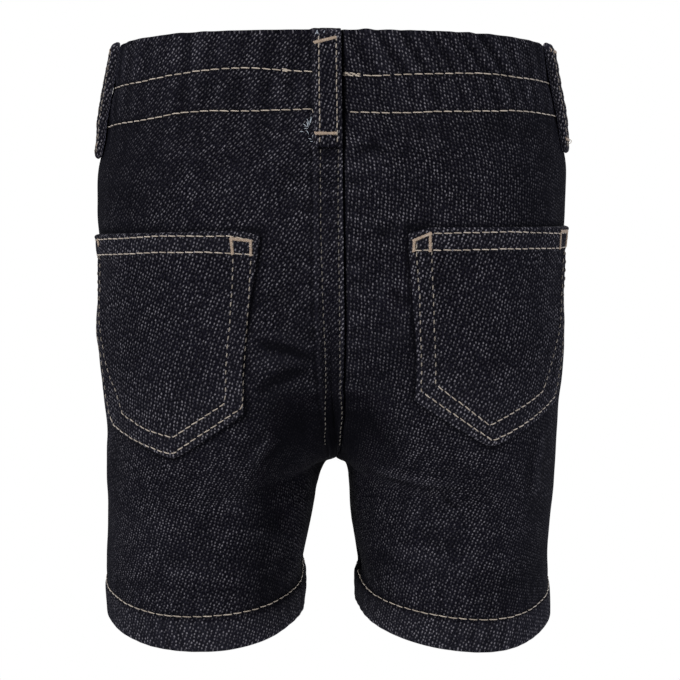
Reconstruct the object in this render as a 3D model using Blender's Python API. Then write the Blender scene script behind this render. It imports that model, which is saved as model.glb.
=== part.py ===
"""Infant's denim shorts with an elastic waist, hollow and open as if filled out by a wearer.

X runs to the wearer's right, Y to the front and Z up, so the back of the shorts faces -Y.
The origin is the centre of the waist opening. Sizes are in millimetres until a mesh is made.

The cloth is one surface. A place on it is a level, a distance and a side: the level runs from
the waist edge down to the hem, and the distance runs round half the body from its back edge,
which is the centre-back seam above the crotch and the inseam below it.
"""

import bmesh
import bpy
import numpy as np

MM = 0.001

# Cloth and making up
CLOTH = 1.2  # one thickness of denim
GAP = 0.3  # between pieces that a seam joins
CASING = 29.5  # waist edge to the casing's lower row of stitches
CASING_WALL = 2.8  # two thicknesses of denim with elastic between them
HEM = 12.0
HEM_WALL = 2.6  # the hem's turned-up thicknesses, inside the leg
FELL = 10.0  # width of the felled centre-back seam
FELL_RISE = 0.8
LAP = 4.9  # the left back panel laps this far past the centre line
LAP_ENDS = 1.8  # the level from which the lap narrows away to the crotch
SIDE_SEAM_FORWARD = 12.0  # the side seam lies this far in front of the widest line

# Shape of the whole
WAIST_TILT = 8.2  # the back of the waist edge is this much above its sides, the front below
CROTCH_Z = -155.0
CROTCH_SIDE = 172.0  # the level that meets the crotch passes the side this far down
HEM_SIDE = 214.0
HEM_INNER_Z = -210.5
HEM_DROP = {"back": 8.8, "front": -4.0}  # the hem is this much lower there than at its sides
HEM_CORNER = 1.4  # how sharply that drop runs out towards the side; 1 follows the section
SEAT_RISE = {"back": 85.0, "front": 75.0}  # height of the seat curve's rounded part
SEAT_DEPTH = 62.0
SQUARENESS = 2.2  # exponent of the outer quarters of a section; 2 is an ellipse
EDGE_REACH = 9.0  # how far a centre seam or inseam draws the cloth beside it

LEVELS = (0.0, 1.0, 2.0, 3.0, 4.0)  # waist edge, casing row, crotch, top of hem, hem edge
SIDE_DROPS = (0.0, CASING, CROTCH_SIDE, HEM_SIDE - HEM, HEM_SIDE)

SECTIONS = {  # half-widths, depths, where each half is deepest and where its round starts
    "columns": ("drop", "left", "right", "back", "front", "left_crest", "right_crest", "inner"),
    "rows": (
        (0.0, 79.4, 80.3, 47.0, 47.0, 12.0, 12.0, 0.0),
        (15.0, 81.4, 82.8, 49.5, 49.5, 15.0, 15.0, 0.0),
        (29.5, 84.4, 85.4, 52.0, 52.0, 20.0, 20.0, 0.0),
        (38.0, 86.0, 87.2, 55.0, 53.0, 23.0, 23.0, 0.0),
        (45.0, 87.6, 88.4, 57.0, 54.5, 26.0, 26.0, 0.0),
        (60.0, 88.0, 88.2, 60.5, 56.0, 29.0, 29.0, 0.0),
        (75.0, 87.4, 87.2, 63.0, 57.0, 31.0, 31.0, 0.0),
        (90.0, 87.6, 87.4, 65.0, 57.0, 33.0, 33.0, 0.0),
        (110.0, 88.0, 88.0, 66.0, 56.0, 36.0, 37.0, 0.3),
        (130.0, 86.6, 86.9, 65.5, 54.5, 38.0, 40.0, 1.2),
        (150.0, 84.8, 85.6, 63.5, 52.0, 40.0, 43.0, 2.8),
        (172.0, 85.2, 83.6, 58.5, 50.0, 42.0, 47.0, 5.0),
        (190.0, 85.4, 82.8, 53.5, 49.0, 43.0, 50.0, 8.0),
        (202.0, 85.7, 83.1, 51.5, 48.5, 44.0, 52.0, 9.5),
        (214.0, 85.5, 83.1, 50.0, 48.0, 44.0, 53.0, 10.0),
    ),
}
CENTRE_LINE = {  # how far the centre-back seam leans to the right, down the centre
    "columns": ("down", "shift"),
    "rows": ((0.0, -1.2), (50.0, -0.6), (100.0, 0.0), (140.0, 0.7), (155.0, 1.7)),
}
INSEAMS = {  # how far each inseam stands from the middle, below the crotch
    "columns": ("below", "left", "right"),
    "rows": (
        (0.0, -1.7, 1.7),
        (0.8, 0.2, 3.7),
        (4.0, 3.0, 6.0),
        (10.0, 5.0, 6.6),
        (22.0, 6.8, 7.0),
        (36.0, 9.4, 8.8),
        (47.0, 10.6, 9.6),
        (57.0, 11.0, 9.0),
    ),
}
FOLDS = {  # seen square on: the ends of a crease, its half-width and its height (below 0 a trough)
    "columns": ("x0", "z0", "x1", "z1", "width", "height"),
    "back": (
        (-2.0, -132.0, -30.0, -98.0, 5.0, 0.9),
        (3.0, -122.0, 30.0, -146.0, 7.0, -1.8),
        (-3.0, -118.0, -24.0, -178.0, 7.5, -2.0),
        (6.0, -149.0, 54.0, -158.0, 4.5, 1.3),
        (4.0, -156.0, 50.0, -167.0, 5.0, -0.9),
    ),
    "front": (
        (3.0, -130.0, 32.0, -102.0, 6.0, -1.3),
        (-3.0, -126.0, -36.0, -106.0, 6.0, -1.4),
        (-6.0, -148.0, -50.0, -163.0, 5.0, 1.1),
        (7.0, -152.0, 46.0, -172.0, 6.0, 1.0),
    ),
}

# How finely the cloth is divided
SAMPLES = 32  # points in each part of a section before it is measured off
OVERRUN = SAMPLES + 8  # points a half-section runs on past its edges, enough for the lap
CURVE_POINTS = 120  # in the seat curve and in the inseam
ASIDE, BELOW = 0.5, 0.01  # the distance and the level between points that give a normal
PANEL_COLUMNS = 17
TORSO_ROWS = 20
LEG_LEVELS = (2.03, 2.07, 2.13, 2.22, 2.36, 2.56, 2.78)
HEM_LEVELS = (3.0, 3.08, 3.55, 4.0)

# Gathers of the casing
GATHERS = 44  # round the whole waist
GATHER_HEIGHT = 0.9
COLUMNS_PER_GATHER = 4
CASING_LEVELS = (0.0, 0.05, 0.25, 0.5, 0.75, 1.0)

# Patch pockets
POCKET_WIDTH = 84.0
POCKET_CORNER_WIDTH = 66.0
POCKET_HEM = 8.5
POCKET_HEM_WALL = 1.8
POCKET_GAP = 0.45  # clears the facets of the panel below
POCKET_GAPE = 0.9  # the mouth stands this much further off between its corners
POCKETS = {  # the top's middle by distance from the side line and by height, and its slope; how
    # far down the corners and the tip are; how much nearer the centre the tip is than the top
    "columns": ("side", "from_side", "z", "slope", "corner", "tip", "lean"),
    "rows": (
        ("left", 58.7, -67.7, 0.08, 65.5, 79.5, 11.5),
        ("right", 55.5, -63.4, 0.03, 61.5, 78.5, 16.0),
    ),
}
POCKET_COLUMNS = 15
POCKET_DOWNS = (0.0, 0.06, 0.12, 0.14, 0.26, 0.38, 0.5, 0.62, 0.74, 0.86, 0.95, 1.0)

# Belt loops
LOOP_WIDTH = 10.0
LOOPS = {  # where each loop's top lies below the waist edge, and its length
    "columns": ("name", "down", "length"),
    "rows": (("centre", 0.6, 40.5), ("left", 3.5, 37.5), ("right", 3.5, 36.5)),
}
LOOP_RISES = {  # how far a loop's inner face stands off the cloth, and its wall, down its length
    "columns": ("share", "rise", "wall"),
    "rows": (
        (0.0, 0.9, 1.5),
        (0.1, 1.0, 1.8),
        (0.25, 2.0, 1.8),
        (0.45, 2.5, 1.8),
        (0.65, 2.2, 1.8),
        (0.8, 1.5, 1.8),
        (0.9, 1.15, 1.6),
        (1.0, 1.1, 1.2),
    ),
}
LOOP_STATIONS = 13

INDIGO = (0.012, 0.014, 0.022, 1.0)


def column(table, name):
    """One named column of a table."""
    place = table["columns"].index(name)
    return np.array([row[place] for row in table["rows"]])


def smooth(table, name, at):
    """A column's value at a place along the table's first column, on a smooth curve."""
    x = column(table, table["columns"][0])
    y = column(table, name)
    slope = np.gradient(y, x)
    at = np.clip(at, x[0], x[-1])
    i = np.clip(np.searchsorted(x, at) - 1, 0, len(x) - 2)
    span = x[i + 1] - x[i]
    t = (at - x[i]) / span
    rising = t * t * (3.0 - 2.0 * t)
    lead = t * (1.0 - t) ** 2 * slope[i] * span
    trail = t * t * (t - 1.0) * slope[i + 1] * span
    return y[i] + (y[i + 1] - y[i]) * rising + lead + trail


def ease(t):
    """0 to 1 with no corner at either end."""
    t = np.clip(t, 0.0, 1.0)
    return t * t * (3.0 - 2.0 * t)


def distances(line):
    """Distance along a line of points, from its first."""
    steps = np.linalg.norm(np.diff(line, axis=0), axis=1)
    return np.concatenate(([0.0], np.cumsum(steps)))


def seat_curve(face):
    """Height and share of the full depth down a centre seam, casing row to crotch."""
    sign = 1.0 if face == "back" else -1.0
    rise = SEAT_RISE[face]
    turn = np.linspace(0.0, np.pi / 2, CURVE_POINTS)
    top = sign * WAIST_TILT - CASING
    heights = np.concatenate(([top], CROTCH_Z + rise * (1.0 - np.sin(turn))))
    shares = np.concatenate(([1.0], np.cos(turn)))
    run = distances(np.column_stack((shares * SEAT_DEPTH, heights)))
    return run / run[-1], heights, shares


def inseam_curve():
    """Height down the inseams by the share of their length, crotch to top of hem."""
    heights = np.linspace(CROTCH_Z, HEM_INNER_Z + HEM, CURVE_POINTS)
    below = CROTCH_Z - heights
    spread = (smooth(INSEAMS, "left", below) + smooth(INSEAMS, "right", below)) / 2
    run = distances(np.column_stack((spread, heights)))
    return run / run[-1], heights


def inner_edge(side, face, level):
    """The back or front edge of half a section: its distance outward, height and share."""
    if level <= LEVELS[1]:
        tilt = WAIST_TILT if face == "back" else -WAIST_TILT
        z, share = tilt - CASING * level, 1.0
    elif level <= LEVELS[2]:
        run, heights, shares = seat_curve(face)
        z = np.interp(level - LEVELS[1], run, heights)
        share = np.interp(level - LEVELS[1], run, shares)
    elif level <= LEVELS[3]:
        run, heights = inseam_curve()
        z, share = np.interp(level - LEVELS[2], run, heights), 0.0
    else:
        z, share = HEM_INNER_Z + HEM * (LEVELS[4] - level), 0.0
    if level > LEVELS[2]:
        return smooth(INSEAMS, side, CROTCH_Z - z), z, share
    shift = smooth(CENTRE_LINE, "shift", WAIST_TILT - z)
    return (shift if side == "right" else -shift), z, share


def half_section(side, level):
    """Half a section as points from its back edge round the side to its front edge.

    Also gives the place of its widest point in that line."""
    drop = np.interp(level, LEVELS, SIDE_DROPS)
    out = smooth(SECTIONS, side, drop)
    crest = smooth(SECTIONS, side + "_crest", drop)
    start = smooth(SECTIONS, "inner", drop)
    turn = np.linspace(0.0, np.pi / 2, SAMPLES)
    faces = []
    for face, sign in (("back", -1.0), ("front", 1.0)):
        inner_x, inner_z, share = inner_edge(side, face, level)
        depth = smooth(SECTIONS, face, drop)
        inner = np.column_stack((
            start + (crest - start) * (1.0 - np.cos(turn)),
            np.sqrt(1.0 - np.cos(turn) ** 2 * (1.0 - share**2)),
        ))
        near_edge = np.exp(-((distances(inner * (1.0, depth)) / EDGE_REACH) ** 2))
        inner[:, 0] += (inner_x - start) * near_edge
        outer = np.column_stack((
            crest + (out - crest) * np.sin(turn) ** (2 / SQUARENESS),
            np.cos(turn) ** (2 / SQUARENESS),
        ))
        flat = np.concatenate((inner, outer[1:]))
        run = distances(flat * (1.0, depth))
        across = (1.0 + np.cos(np.pi * run / run[-1])) / 2
        upright = np.clip(flat[:, 1] / max(share, 0.01), 0.0, 1.0)
        blend = ease(level - LEVELS[1])
        weight = upright + (across - upright) * blend
        z = -drop + (inner_z + drop) * weight
        dip = flat[:, 1] ** np.where(flat[:, 0] > crest, HEM_CORNER, 1.0)
        z -= HEM_DROP[face] * ease(level - LEVELS[2]) * dip
        faces.append(np.column_stack((flat[:, 0], sign * depth * flat[:, 1], z)))
    line = np.concatenate((faces[0], faces[1][-2::-1]))
    line[:, 0] *= 1.0 if side == "right" else -1.0
    return line, len(faces[0]) - 1


def around(side, level):
    """A half-section's distances and points, run on past both edges, and its widest distance."""
    line, widest = half_section(side, level)
    run = distances(line)
    if level < LEVELS[2]:
        other, _ = half_section("left" if side == "right" else "right", level)
        before, after = other[OVERRUN:0:-1], other[-2 : -OVERRUN - 2 : -1]
    else:
        before, after = line[-OVERRUN - 1 : -1], line[1 : OVERRUN + 1]
    ahead = distances(np.concatenate((line[-1:], after)))[1:]
    behind = distances(np.concatenate((line[:1], before[::-1])))[:0:-1]
    points = np.concatenate((before, line, after))
    return np.concatenate((-behind, run, run[-1] + ahead)), points, run[widest], run[-1]


def measured(side, level, at):
    """Points of a section at these distances round it."""
    run, line, _, _ = around(side, level)
    return np.column_stack([np.interp(at, run, line[:, k]) for k in range(3)])


def lap(level):
    """How far the left panel laps past the centre line: it runs out at the crotch."""
    return LAP * (1.0 - ease((level - LAP_ENDS) / (LEVELS[2] - LAP_ENDS)))


def panel_span(side, face, level):
    """Where a panel starts and ends round its half-section."""
    _, _, widest, whole = around(side, level)
    seam = widest + SIDE_SEAM_FORWARD
    if face == "front":
        return seam + GAP / 2, whole - GAP / 2
    past = -lap(level) if side == "left" else lap(level)
    return past + GAP / 2, seam - GAP / 2


def fold_height(points, face):
    """How far the creases lift the cloth at these points."""
    height = np.zeros(points.shape[:-1])
    for x0, z0, x1, z1, width, rise in FOLDS[face]:
        way = np.array((x1 - x0, z1 - z0))
        off = points[..., (0, 2)] - (x0, z0)
        along = off @ way / (way @ way)
        beside = (off[..., 0] * way[1] - off[..., 1] * way[0]) / np.linalg.norm(way)
        fade = np.clip(1.0 - (2.0 * along - 1.0) ** 2, 0.0, 1.0)
        height += rise * fade * np.exp(-((beside / width) ** 2))
    return height


def cloth(side, face, levels, spread):
    """Points and outward normals of the cloth at these levels.

    spread gives the distances round the half-section for a level. The centre edges stay in
    their seam's plane, and so do the inseams, so that neighbouring panels meet."""
    points, across, down = [], [], []
    for level in levels:
        at = spread(level)
        points.append(measured(side, level, at))
        ahead, behind = measured(side, level, at + ASIDE), measured(side, level, at - ASIDE)
        across.append(ahead - behind)
        low, high = min(level + BELOW, LEVELS[-1]), max(level - BELOW, LEVELS[0])
        down.append(measured(side, low, at) - measured(side, high, at))
    points = np.array(points)
    normals = np.cross(down, across) * (1.0 if side == "right" else -1.0)
    edge = 0 if face == "back" else -1
    for i, level in enumerate(levels):
        if level <= LEVELS[2]:
            normals[i, edge, 0] = 0.0
        if level >= LEVELS[2]:
            normals[i, edge, 1] = 0.0
    normals /= np.linalg.norm(normals, axis=-1, keepdims=True)
    return points + fold_height(points, face)[..., None] * normals, normals


def panel_levels():
    """Levels of a panel's rows, casing row to hem edge."""
    torso = np.linspace(LEVELS[1], LEVELS[2], TORSO_ROWS + 1)
    torso[0] += GAP / CASING
    return np.concatenate((torso, LEG_LEVELS, HEM_LEVELS))


def panel_spread(side, face):
    """Distances of a panel's columns. The left back panel keeps four for the felled band."""

    def spread(level):
        start, end = panel_span(side, face, level)
        if (side, face) != ("left", "back"):
            return np.linspace(start, end, PANEL_COLUMNS)
        edge = FELL - LAP
        middle = (start + edge) / 2 * (1.0 - lap(level) / LAP)
        band = (start, middle, edge, edge + FELL_RISE)
        return np.concatenate((band, np.linspace(edge + FELL_RISE, end, PANEL_COLUMNS - 3)[1:]))

    return spread


def wall_mesh(outer, inner):
    """A closed wall between two grids of points that face each other."""
    mesh = bmesh.new()
    rows, columns = outer.shape[:2]
    faces = []
    for grid in (outer, inner):
        faces.append([[mesh.verts.new(point * MM) for point in row] for row in grid])
    front, back = faces
    for i in range(rows - 1):
        for j in range(columns - 1):
            mesh.faces.new((front[i][j], front[i + 1][j], front[i + 1][j + 1], front[i][j + 1]))
            mesh.faces.new((back[i][j], back[i][j + 1], back[i + 1][j + 1], back[i + 1][j]))
    for i in range(rows - 1):
        mesh.faces.new((front[i][0], back[i][0], back[i + 1][0], front[i + 1][0]))
        mesh.faces.new((front[i][-1], front[i + 1][-1], back[i + 1][-1], back[i][-1]))
    for j in range(columns - 1):
        mesh.faces.new((front[0][j], front[0][j + 1], back[0][j + 1], back[0][j]))
        mesh.faces.new((front[-1][j], back[-1][j], back[-1][j + 1], front[-1][j + 1]))
    return mesh


def swept_mesh(loops):
    """A closed body through a row of closed loops of points."""
    mesh = bmesh.new()
    rings = [[mesh.verts.new(point * MM) for point in loop] for loop in loops]
    for one, two in zip(rings, rings[1:]):
        for k in range(len(one)):
            n = (k + 1) % len(one)
            mesh.faces.new((one[k], one[n], two[n], two[k]))
    mesh.faces.new(rings[0][::-1])
    mesh.faces.new(rings[-1])
    return mesh


def denim(name, colour, roughness):
    """A plain denim material."""
    material = bpy.data.materials.new(name)
    material.use_nodes = True
    shader = material.node_tree.nodes["Principled BSDF"]
    shader.inputs["Base Color"].default_value = colour
    shader.inputs["Roughness"].default_value = roughness
    shader.inputs["Metallic"].default_value = 0.0
    return material


def add_piece(name, mesh, colour, roughness):
    """Make an object of a closed mesh, its faces pointing out, with its own material."""
    bmesh.ops.triangulate(mesh, faces=mesh.faces)
    bmesh.ops.recalc_face_normals(mesh, faces=mesh.faces)
    data = bpy.data.meshes.new(name)
    mesh.to_mesh(data)
    mesh.free()
    data.shade_smooth()
    data.set_sharp_from_angle(angle=np.radians(50))
    data.materials.append(denim(name + "_denim", colour, roughness))
    piece = bpy.data.objects.new(name, data)
    bpy.context.scene.collection.objects.link(piece)
    return piece


def add_panel(side, face):
    """A back or front panel: a wall that is thicker at its hem and along its felled seam."""
    levels = panel_levels()
    spread = panel_spread(side, face)
    points, normals = cloth(side, face, levels, spread)
    raised = points.copy()
    if (side, face) == ("left", "back"):
        rise = FELL_RISE * np.array([lap(level) / LAP for level in levels])
        raised[:, :3] += rise[:, None, None] * normals[:, :3]
    wall = np.where(levels > HEM_LEVELS[0], HEM_WALL, CLOTH)
    inner = points - wall[:, None, None] * normals
    add_piece(face + "_" + side, wall_mesh(raised, inner), INDIGO, 0.85)
    return {
        "points": points,
        "normals": normals,
        "spreads": [spread(level) for level in levels],
        "widest": [around(side, level)[2] for level in levels],
    }


def gather_height(distance, widest, whole, level):
    """How far a gather of the casing stands out at a distance round half the waist."""
    turns = GATHERS / 2 * distance / whole
    uneven = 1.0 + 0.25 * np.sin(1.7 * turns) + 0.15 * np.sin(0.6 * turns + 1.0)
    stitched = 0.45 + 0.55 * np.sin(2 * np.pi * level) ** 2
    near_loop = np.exp(-((distance / LOOP_WIDTH) ** 2))
    near_loop += np.exp(-(((distance - widest) / LOOP_WIDTH) ** 2))
    held = stitched * (1.0 - 0.8 * near_loop)
    return GATHER_HEIGHT * held * uneven * (1.0 + np.cos(2 * np.pi * turns)) / 2


def add_casing(side, face):
    """A quarter of the elastic casing, gathered outside and plain inside."""
    columns = GATHERS // 4 * COLUMNS_PER_GATHER + 1

    def spread(level):
        start, end = panel_span(side, face, level)
        return np.linspace(start, end, columns)

    points, normals = cloth(side, face, CASING_LEVELS, spread)
    _, _, widest, whole = around(side, LEVELS[0])
    last = len(CASING_LEVELS) - 1
    profile = [(k, 0.0) for k in range(last, 0, -1)]
    profile += [(0, CASING_WALL * share) for share in (0.3, 0.7)]
    profile += [(k, CASING_WALL) for k in (1, last // 2, last)]
    loops = []
    for j, distance in enumerate(spread(LEVELS[0])):
        loop = []
        for k, inset in profile:
            rise = 0.0
            if inset == 0.0:
                rise = gather_height(distance, widest, whole, CASING_LEVELS[k])
            loop.append(points[k, j] + normals[k, j] * (rise - inset))
        loops.append(loop)
    add_piece("waistband_" + face + "_" + side, swept_mesh(loops), INDIGO, 0.85)


def on_panel(panel, from_side, z):
    """A point and its normal on a back panel, by distance from the side line and height."""
    places = np.arange(panel["points"].shape[1])
    cut = [
        np.interp(widest - from_side, at, places)
        for widest, at in zip(panel["widest"], panel["spreads"])
    ]
    heights = [np.interp(c, places, row[:, 2]) for c, row in zip(cut, panel["points"])]
    row = np.interp(-z, -np.array(heights), np.arange(len(heights)))
    i = min(int(row), len(heights) - 2)
    j = min(int(np.interp(row, np.arange(len(cut)), cut)), len(places) - 2)
    u, v = row - i, np.interp(row, np.arange(len(cut)), cut) - j

    def between(grid):
        upper = grid[i, j] * (1 - v) + grid[i, j + 1] * v
        lower = grid[i + 1, j] * (1 - v) + grid[i + 1, j + 1] * v
        return upper * (1 - u) + lower * u

    normal = between(panel["normals"])
    return between(panel["points"]), normal / np.linalg.norm(normal)


def pocket_place(across, down, corner, tip, lean):
    """Flat place on a pocket, from its top's middle: across -1 is its edge by the side."""
    point = 1.0 - np.hypot(across, 0.12) + 0.12
    drop = down * (corner + (tip - corner) * point)
    taper = min(drop / corner, 1.0)
    half = (POCKET_WIDTH + (POCKET_CORNER_WIDTH - POCKET_WIDTH) * taper) / 2
    return across * half + lean * drop / tip, drop


def add_pocket(panel, side, from_side, top, slope, corner, tip, lean):
    """A patch pocket laid on its panel's points, its mouth turned over twice."""
    outer, inner = [], []
    for down in POCKET_DOWNS:
        outer_row, inner_row = [], []
        for across in np.linspace(-1.0, 1.0, POCKET_COLUMNS):
            x, drop = pocket_place(across, down, corner, tip, lean)
            point, normal = on_panel(panel, from_side + x, top - drop + slope * x)
            wall = POCKET_HEM_WALL if drop < POCKET_HEM else CLOTH
            gape = POCKET_GAPE * ease(1.0 - drop / POCKET_HEM / 2) * (1.0 - across**4)
            inner_row.append(point + normal * (POCKET_GAP + gape))
            outer_row.append(point + normal * (POCKET_GAP + gape + wall))
        outer.append(outer_row)
        inner.append(inner_row)
    add_piece("pocket_" + side, wall_mesh(np.array(outer), np.array(inner)), INDIGO, 0.85)


def add_loop(name, down, length):
    """A belt loop: a strip tacked at both ends that stands off the cloth between them."""
    side = "right" if name == "right" else "left"
    shares = np.linspace(0.0, 1.0, LOOP_STATIONS)
    levels = np.interp(down + length * shares, SIDE_DROPS, LEVELS)
    half = LOOP_WIDTH / 2
    edge = half - 0.6

    def spread(level):
        middle = 0.0 if name == "centre" else around(side, level)[2]
        return middle + np.array((-half, -edge, 0.0, edge, half))

    points, normals = cloth(side, "back", levels, spread)
    profile = ((0, 0.0), (0, 0.65), (1, 1.0), (2, 1.0), (3, 1.0), (4, 0.65), (4, 0.0), (2, 0.0))
    rises = smooth(LOOP_RISES, "rise", shares)
    walls = smooth(LOOP_RISES, "wall", shares)
    loops = [
        [row[k] + normal[k] * (rise + wall * share) for k, share in profile]
        for row, normal, rise, wall in zip(points, normals, rises, walls)
    ]
    add_piece("belt_loop_" + name, swept_mesh(loops), INDIGO, 0.85)


for old in list(bpy.data.objects):
    bpy.data.objects.remove(old)

backs = {}
for half in ("left", "right"):
    backs[half] = add_panel(half, "back")
    add_panel(half, "front")
    add_casing(half, "back")
    add_casing(half, "front")
for half, *place in POCKETS["rows"]:
    add_pocket(backs[half], half, *place)
for name, down, length in LOOPS["rows"]:
    add_loop(name, down, length)
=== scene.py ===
"""An infant's denim shorts seen from behind: dark rinsed indigo with tan topstitching.

Sizes are in millimetres until a mesh is made. X runs to the wearer's right, Y to the front and
Z up. The sections follow the shorts as they are put together.
"""

from functools import partial

import bpy
import numpy as np
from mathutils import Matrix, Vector


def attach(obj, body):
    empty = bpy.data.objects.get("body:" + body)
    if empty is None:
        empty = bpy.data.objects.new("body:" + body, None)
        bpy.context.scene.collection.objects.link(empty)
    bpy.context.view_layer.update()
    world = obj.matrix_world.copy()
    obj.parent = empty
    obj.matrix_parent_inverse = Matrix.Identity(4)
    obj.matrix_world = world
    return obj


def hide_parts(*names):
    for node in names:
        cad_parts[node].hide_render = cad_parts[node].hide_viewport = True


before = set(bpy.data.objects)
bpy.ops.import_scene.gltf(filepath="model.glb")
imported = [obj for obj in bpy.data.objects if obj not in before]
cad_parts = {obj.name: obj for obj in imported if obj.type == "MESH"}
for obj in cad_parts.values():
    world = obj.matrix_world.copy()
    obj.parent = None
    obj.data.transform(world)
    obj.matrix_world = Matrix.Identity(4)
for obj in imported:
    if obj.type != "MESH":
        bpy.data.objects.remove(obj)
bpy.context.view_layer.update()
MM = 0.001

# ---------------------------------------------------------------------------------------------
# The four panels. Each is one length of 10.5 oz denim from the waist fold to the hem fold: the top
# is turned in over elastic and stitched down, the bottom is turned up, and the left back laps
# over the right in a felled seam. A place on the cloth is a level (0 waist edge, 1 casing row,
# 2 crotch, 3 top of hem, 4 hem edge) and a distance round half the body from its back edge.

CLOTH = 1.2
CASING = 29.5
CASING_WALL = 2.8
HEM = 12.0
HEM_WALL = 2.6
FELL = 10.0  # width of the felled seam
FELL_RISE = 0.9
SEAM_ROUND = 1.2  # how wide the groove of a seam pressed open is
LAP = 4.9
LAP_ENDS = 1.8
SIDE_SEAM_FORWARD = 12.0
WAIST_TILT = 8.2
CROTCH_Z = -155.0
HEM_INNER_Z = -210.5
HEM_DROP = {"back": 8.8, "front": -4.0}
HEM_CORNER = 1.4
SEAT_RISE = {"back": 85.0, "front": 75.0}
SEAT_DEPTH = 62.0
SQUARENESS = 2.2
EDGE_REACH = 9.0
SIDE_DROPS = (0.0, CASING, 172.0, 202.0, 214.0)
SAMPLES = 110
OVERRUN = 70
CURVE_POINTS = 300

SECTIONS = {  # half-widths, depths, where each half is deepest and where its round starts
    "columns": ("drop", "left", "right", "back", "front", "left_crest", "right_crest", "inner"),
    "rows": (
        (0.0, 79.4, 80.3, 47.0, 47.0, 12.0, 12.0, 0.0),
        (15.0, 81.4, 82.8, 49.5, 49.5, 15.0, 15.0, 0.0),
        (29.5, 84.4, 85.4, 52.0, 52.0, 20.0, 20.0, 0.0),
        (38.0, 86.0, 87.2, 55.0, 53.0, 23.0, 23.0, 0.0),
        (45.0, 87.6, 88.4, 57.0, 54.5, 26.0, 26.0, 0.0),
        (60.0, 88.0, 88.2, 60.5, 56.0, 29.0, 29.0, 0.0),
        (75.0, 87.4, 87.2, 63.0, 57.0, 31.0, 31.0, 0.0),
        (90.0, 87.6, 87.4, 65.0, 57.0, 33.0, 33.0, 0.0),
        (110.0, 88.0, 88.0, 66.0, 56.0, 36.0, 37.0, 0.3),
        (130.0, 86.6, 86.9, 65.5, 54.5, 38.0, 40.0, 1.2),
        (150.0, 84.8, 85.6, 63.5, 52.0, 40.0, 43.0, 2.8),
        (172.0, 85.2, 83.6, 58.5, 50.0, 42.0, 47.0, 5.0),
        (190.0, 85.4, 82.8, 53.5, 49.0, 43.0, 50.0, 8.0),
        (202.0, 85.7, 83.1, 51.5, 48.5, 44.0, 52.0, 9.5),
        (214.0, 85.5, 83.1, 50.0, 48.0, 44.0, 53.0, 10.0),
    ),
}
CENTRE_LINE = {  # how far the centre-back seam leans to the right, down the centre
    "columns": ("down", "shift"),
    "rows": ((0.0, -1.2), (50.0, -0.6), (100.0, 0.0), (140.0, 0.7), (155.0, 1.7)),
}
INSEAMS = {  # how far each inseam stands from the middle, below the crotch
    "columns": ("below", "left", "right"),
    "rows": (
        (0.0, -1.7, 1.7),
        (0.8, 0.2, 3.7),
        (4.0, 3.0, 6.0),
        (10.0, 5.0, 6.6),
        (22.0, 6.8, 7.0),
        (36.0, 9.4, 8.8),
        (47.0, 10.6, 9.6),
        (57.0, 11.0, 9.0),
    ),
}


def bell(off, width):
    """1 at nothing off, and fading to 0 over about twice this width."""
    return np.exp(-((off / width) ** 2))


def unit(ways):
    """Directions at length 1."""
    return ways / np.linalg.norm(ways, axis=-1, keepdims=True)


def column(table, name):
    """One named column of a table."""
    place = table["columns"].index(name)
    return np.array([row[place] for row in table["rows"]])


def smooth(table, name, at):
    """A column's value at places along the table's first column, on a smooth curve."""
    x = column(table, table["columns"][0])
    y = column(table, name)
    slope = np.gradient(y, x)
    at = np.clip(at, x[0], x[-1])
    i = np.clip(np.searchsorted(x, at) - 1, 0, len(x) - 2)
    span = x[i + 1] - x[i]
    t = (at - x[i]) / span
    lead = t * (1.0 - t) ** 2 * slope[i] * span
    trail = t * t * (t - 1.0) * slope[i + 1] * span
    return y[i] + (y[i + 1] - y[i]) * t * t * (3.0 - 2.0 * t) + lead + trail


def ease(t):
    """0 to 1 with no corner at either end."""
    t = np.clip(t, 0.0, 1.0)
    return t * t * (3.0 - 2.0 * t)


def distances(line):
    """Distance along a line of points, from its first."""
    steps = np.linalg.norm(np.diff(line, axis=0), axis=1)
    return np.concatenate(([0.0], np.cumsum(steps)))


def side_drop(level):
    """How far below the waist edge a level is at the side."""
    return np.interp(level, range(5), SIDE_DROPS)


def inner_edge(side, face, level):
    """A half-section's back or front edge: its distance outward, height and share of depth."""
    sign = 1.0 if face == "back" else -1.0
    if level <= 1.0:
        z, share = sign * WAIST_TILT - CASING * level, 1.0
    elif level <= 2.0:
        turn = np.linspace(0.0, np.pi / 2, CURVE_POINTS)
        top = sign * WAIST_TILT - CASING
        heights = np.append(top, CROTCH_Z + SEAT_RISE[face] * (1.0 - np.sin(turn)))
        shares = np.append(1.0, np.cos(turn))
        run = distances(np.column_stack((shares * SEAT_DEPTH, heights)))
        z, share = (np.interp(level - 1.0, run / run[-1], part) for part in (heights, shares))
    elif level <= 3.0:
        heights = np.linspace(CROTCH_Z, HEM_INNER_Z + HEM, CURVE_POINTS)
        below = CROTCH_Z - heights
        spread = (smooth(INSEAMS, "left", below) + smooth(INSEAMS, "right", below)) / 2
        run = distances(np.column_stack((spread, heights)))
        z, share = np.interp(level - 2.0, run / run[-1], heights), 0.0
    else:
        z, share = HEM_INNER_Z + HEM * (4.0 - level), 0.0
    if level > 2.0:
        return smooth(INSEAMS, side, CROTCH_Z - z), z, share
    shift = smooth(CENTRE_LINE, "shift", WAIST_TILT - z)
    return (shift if side == "right" else -shift), z, share


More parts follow.
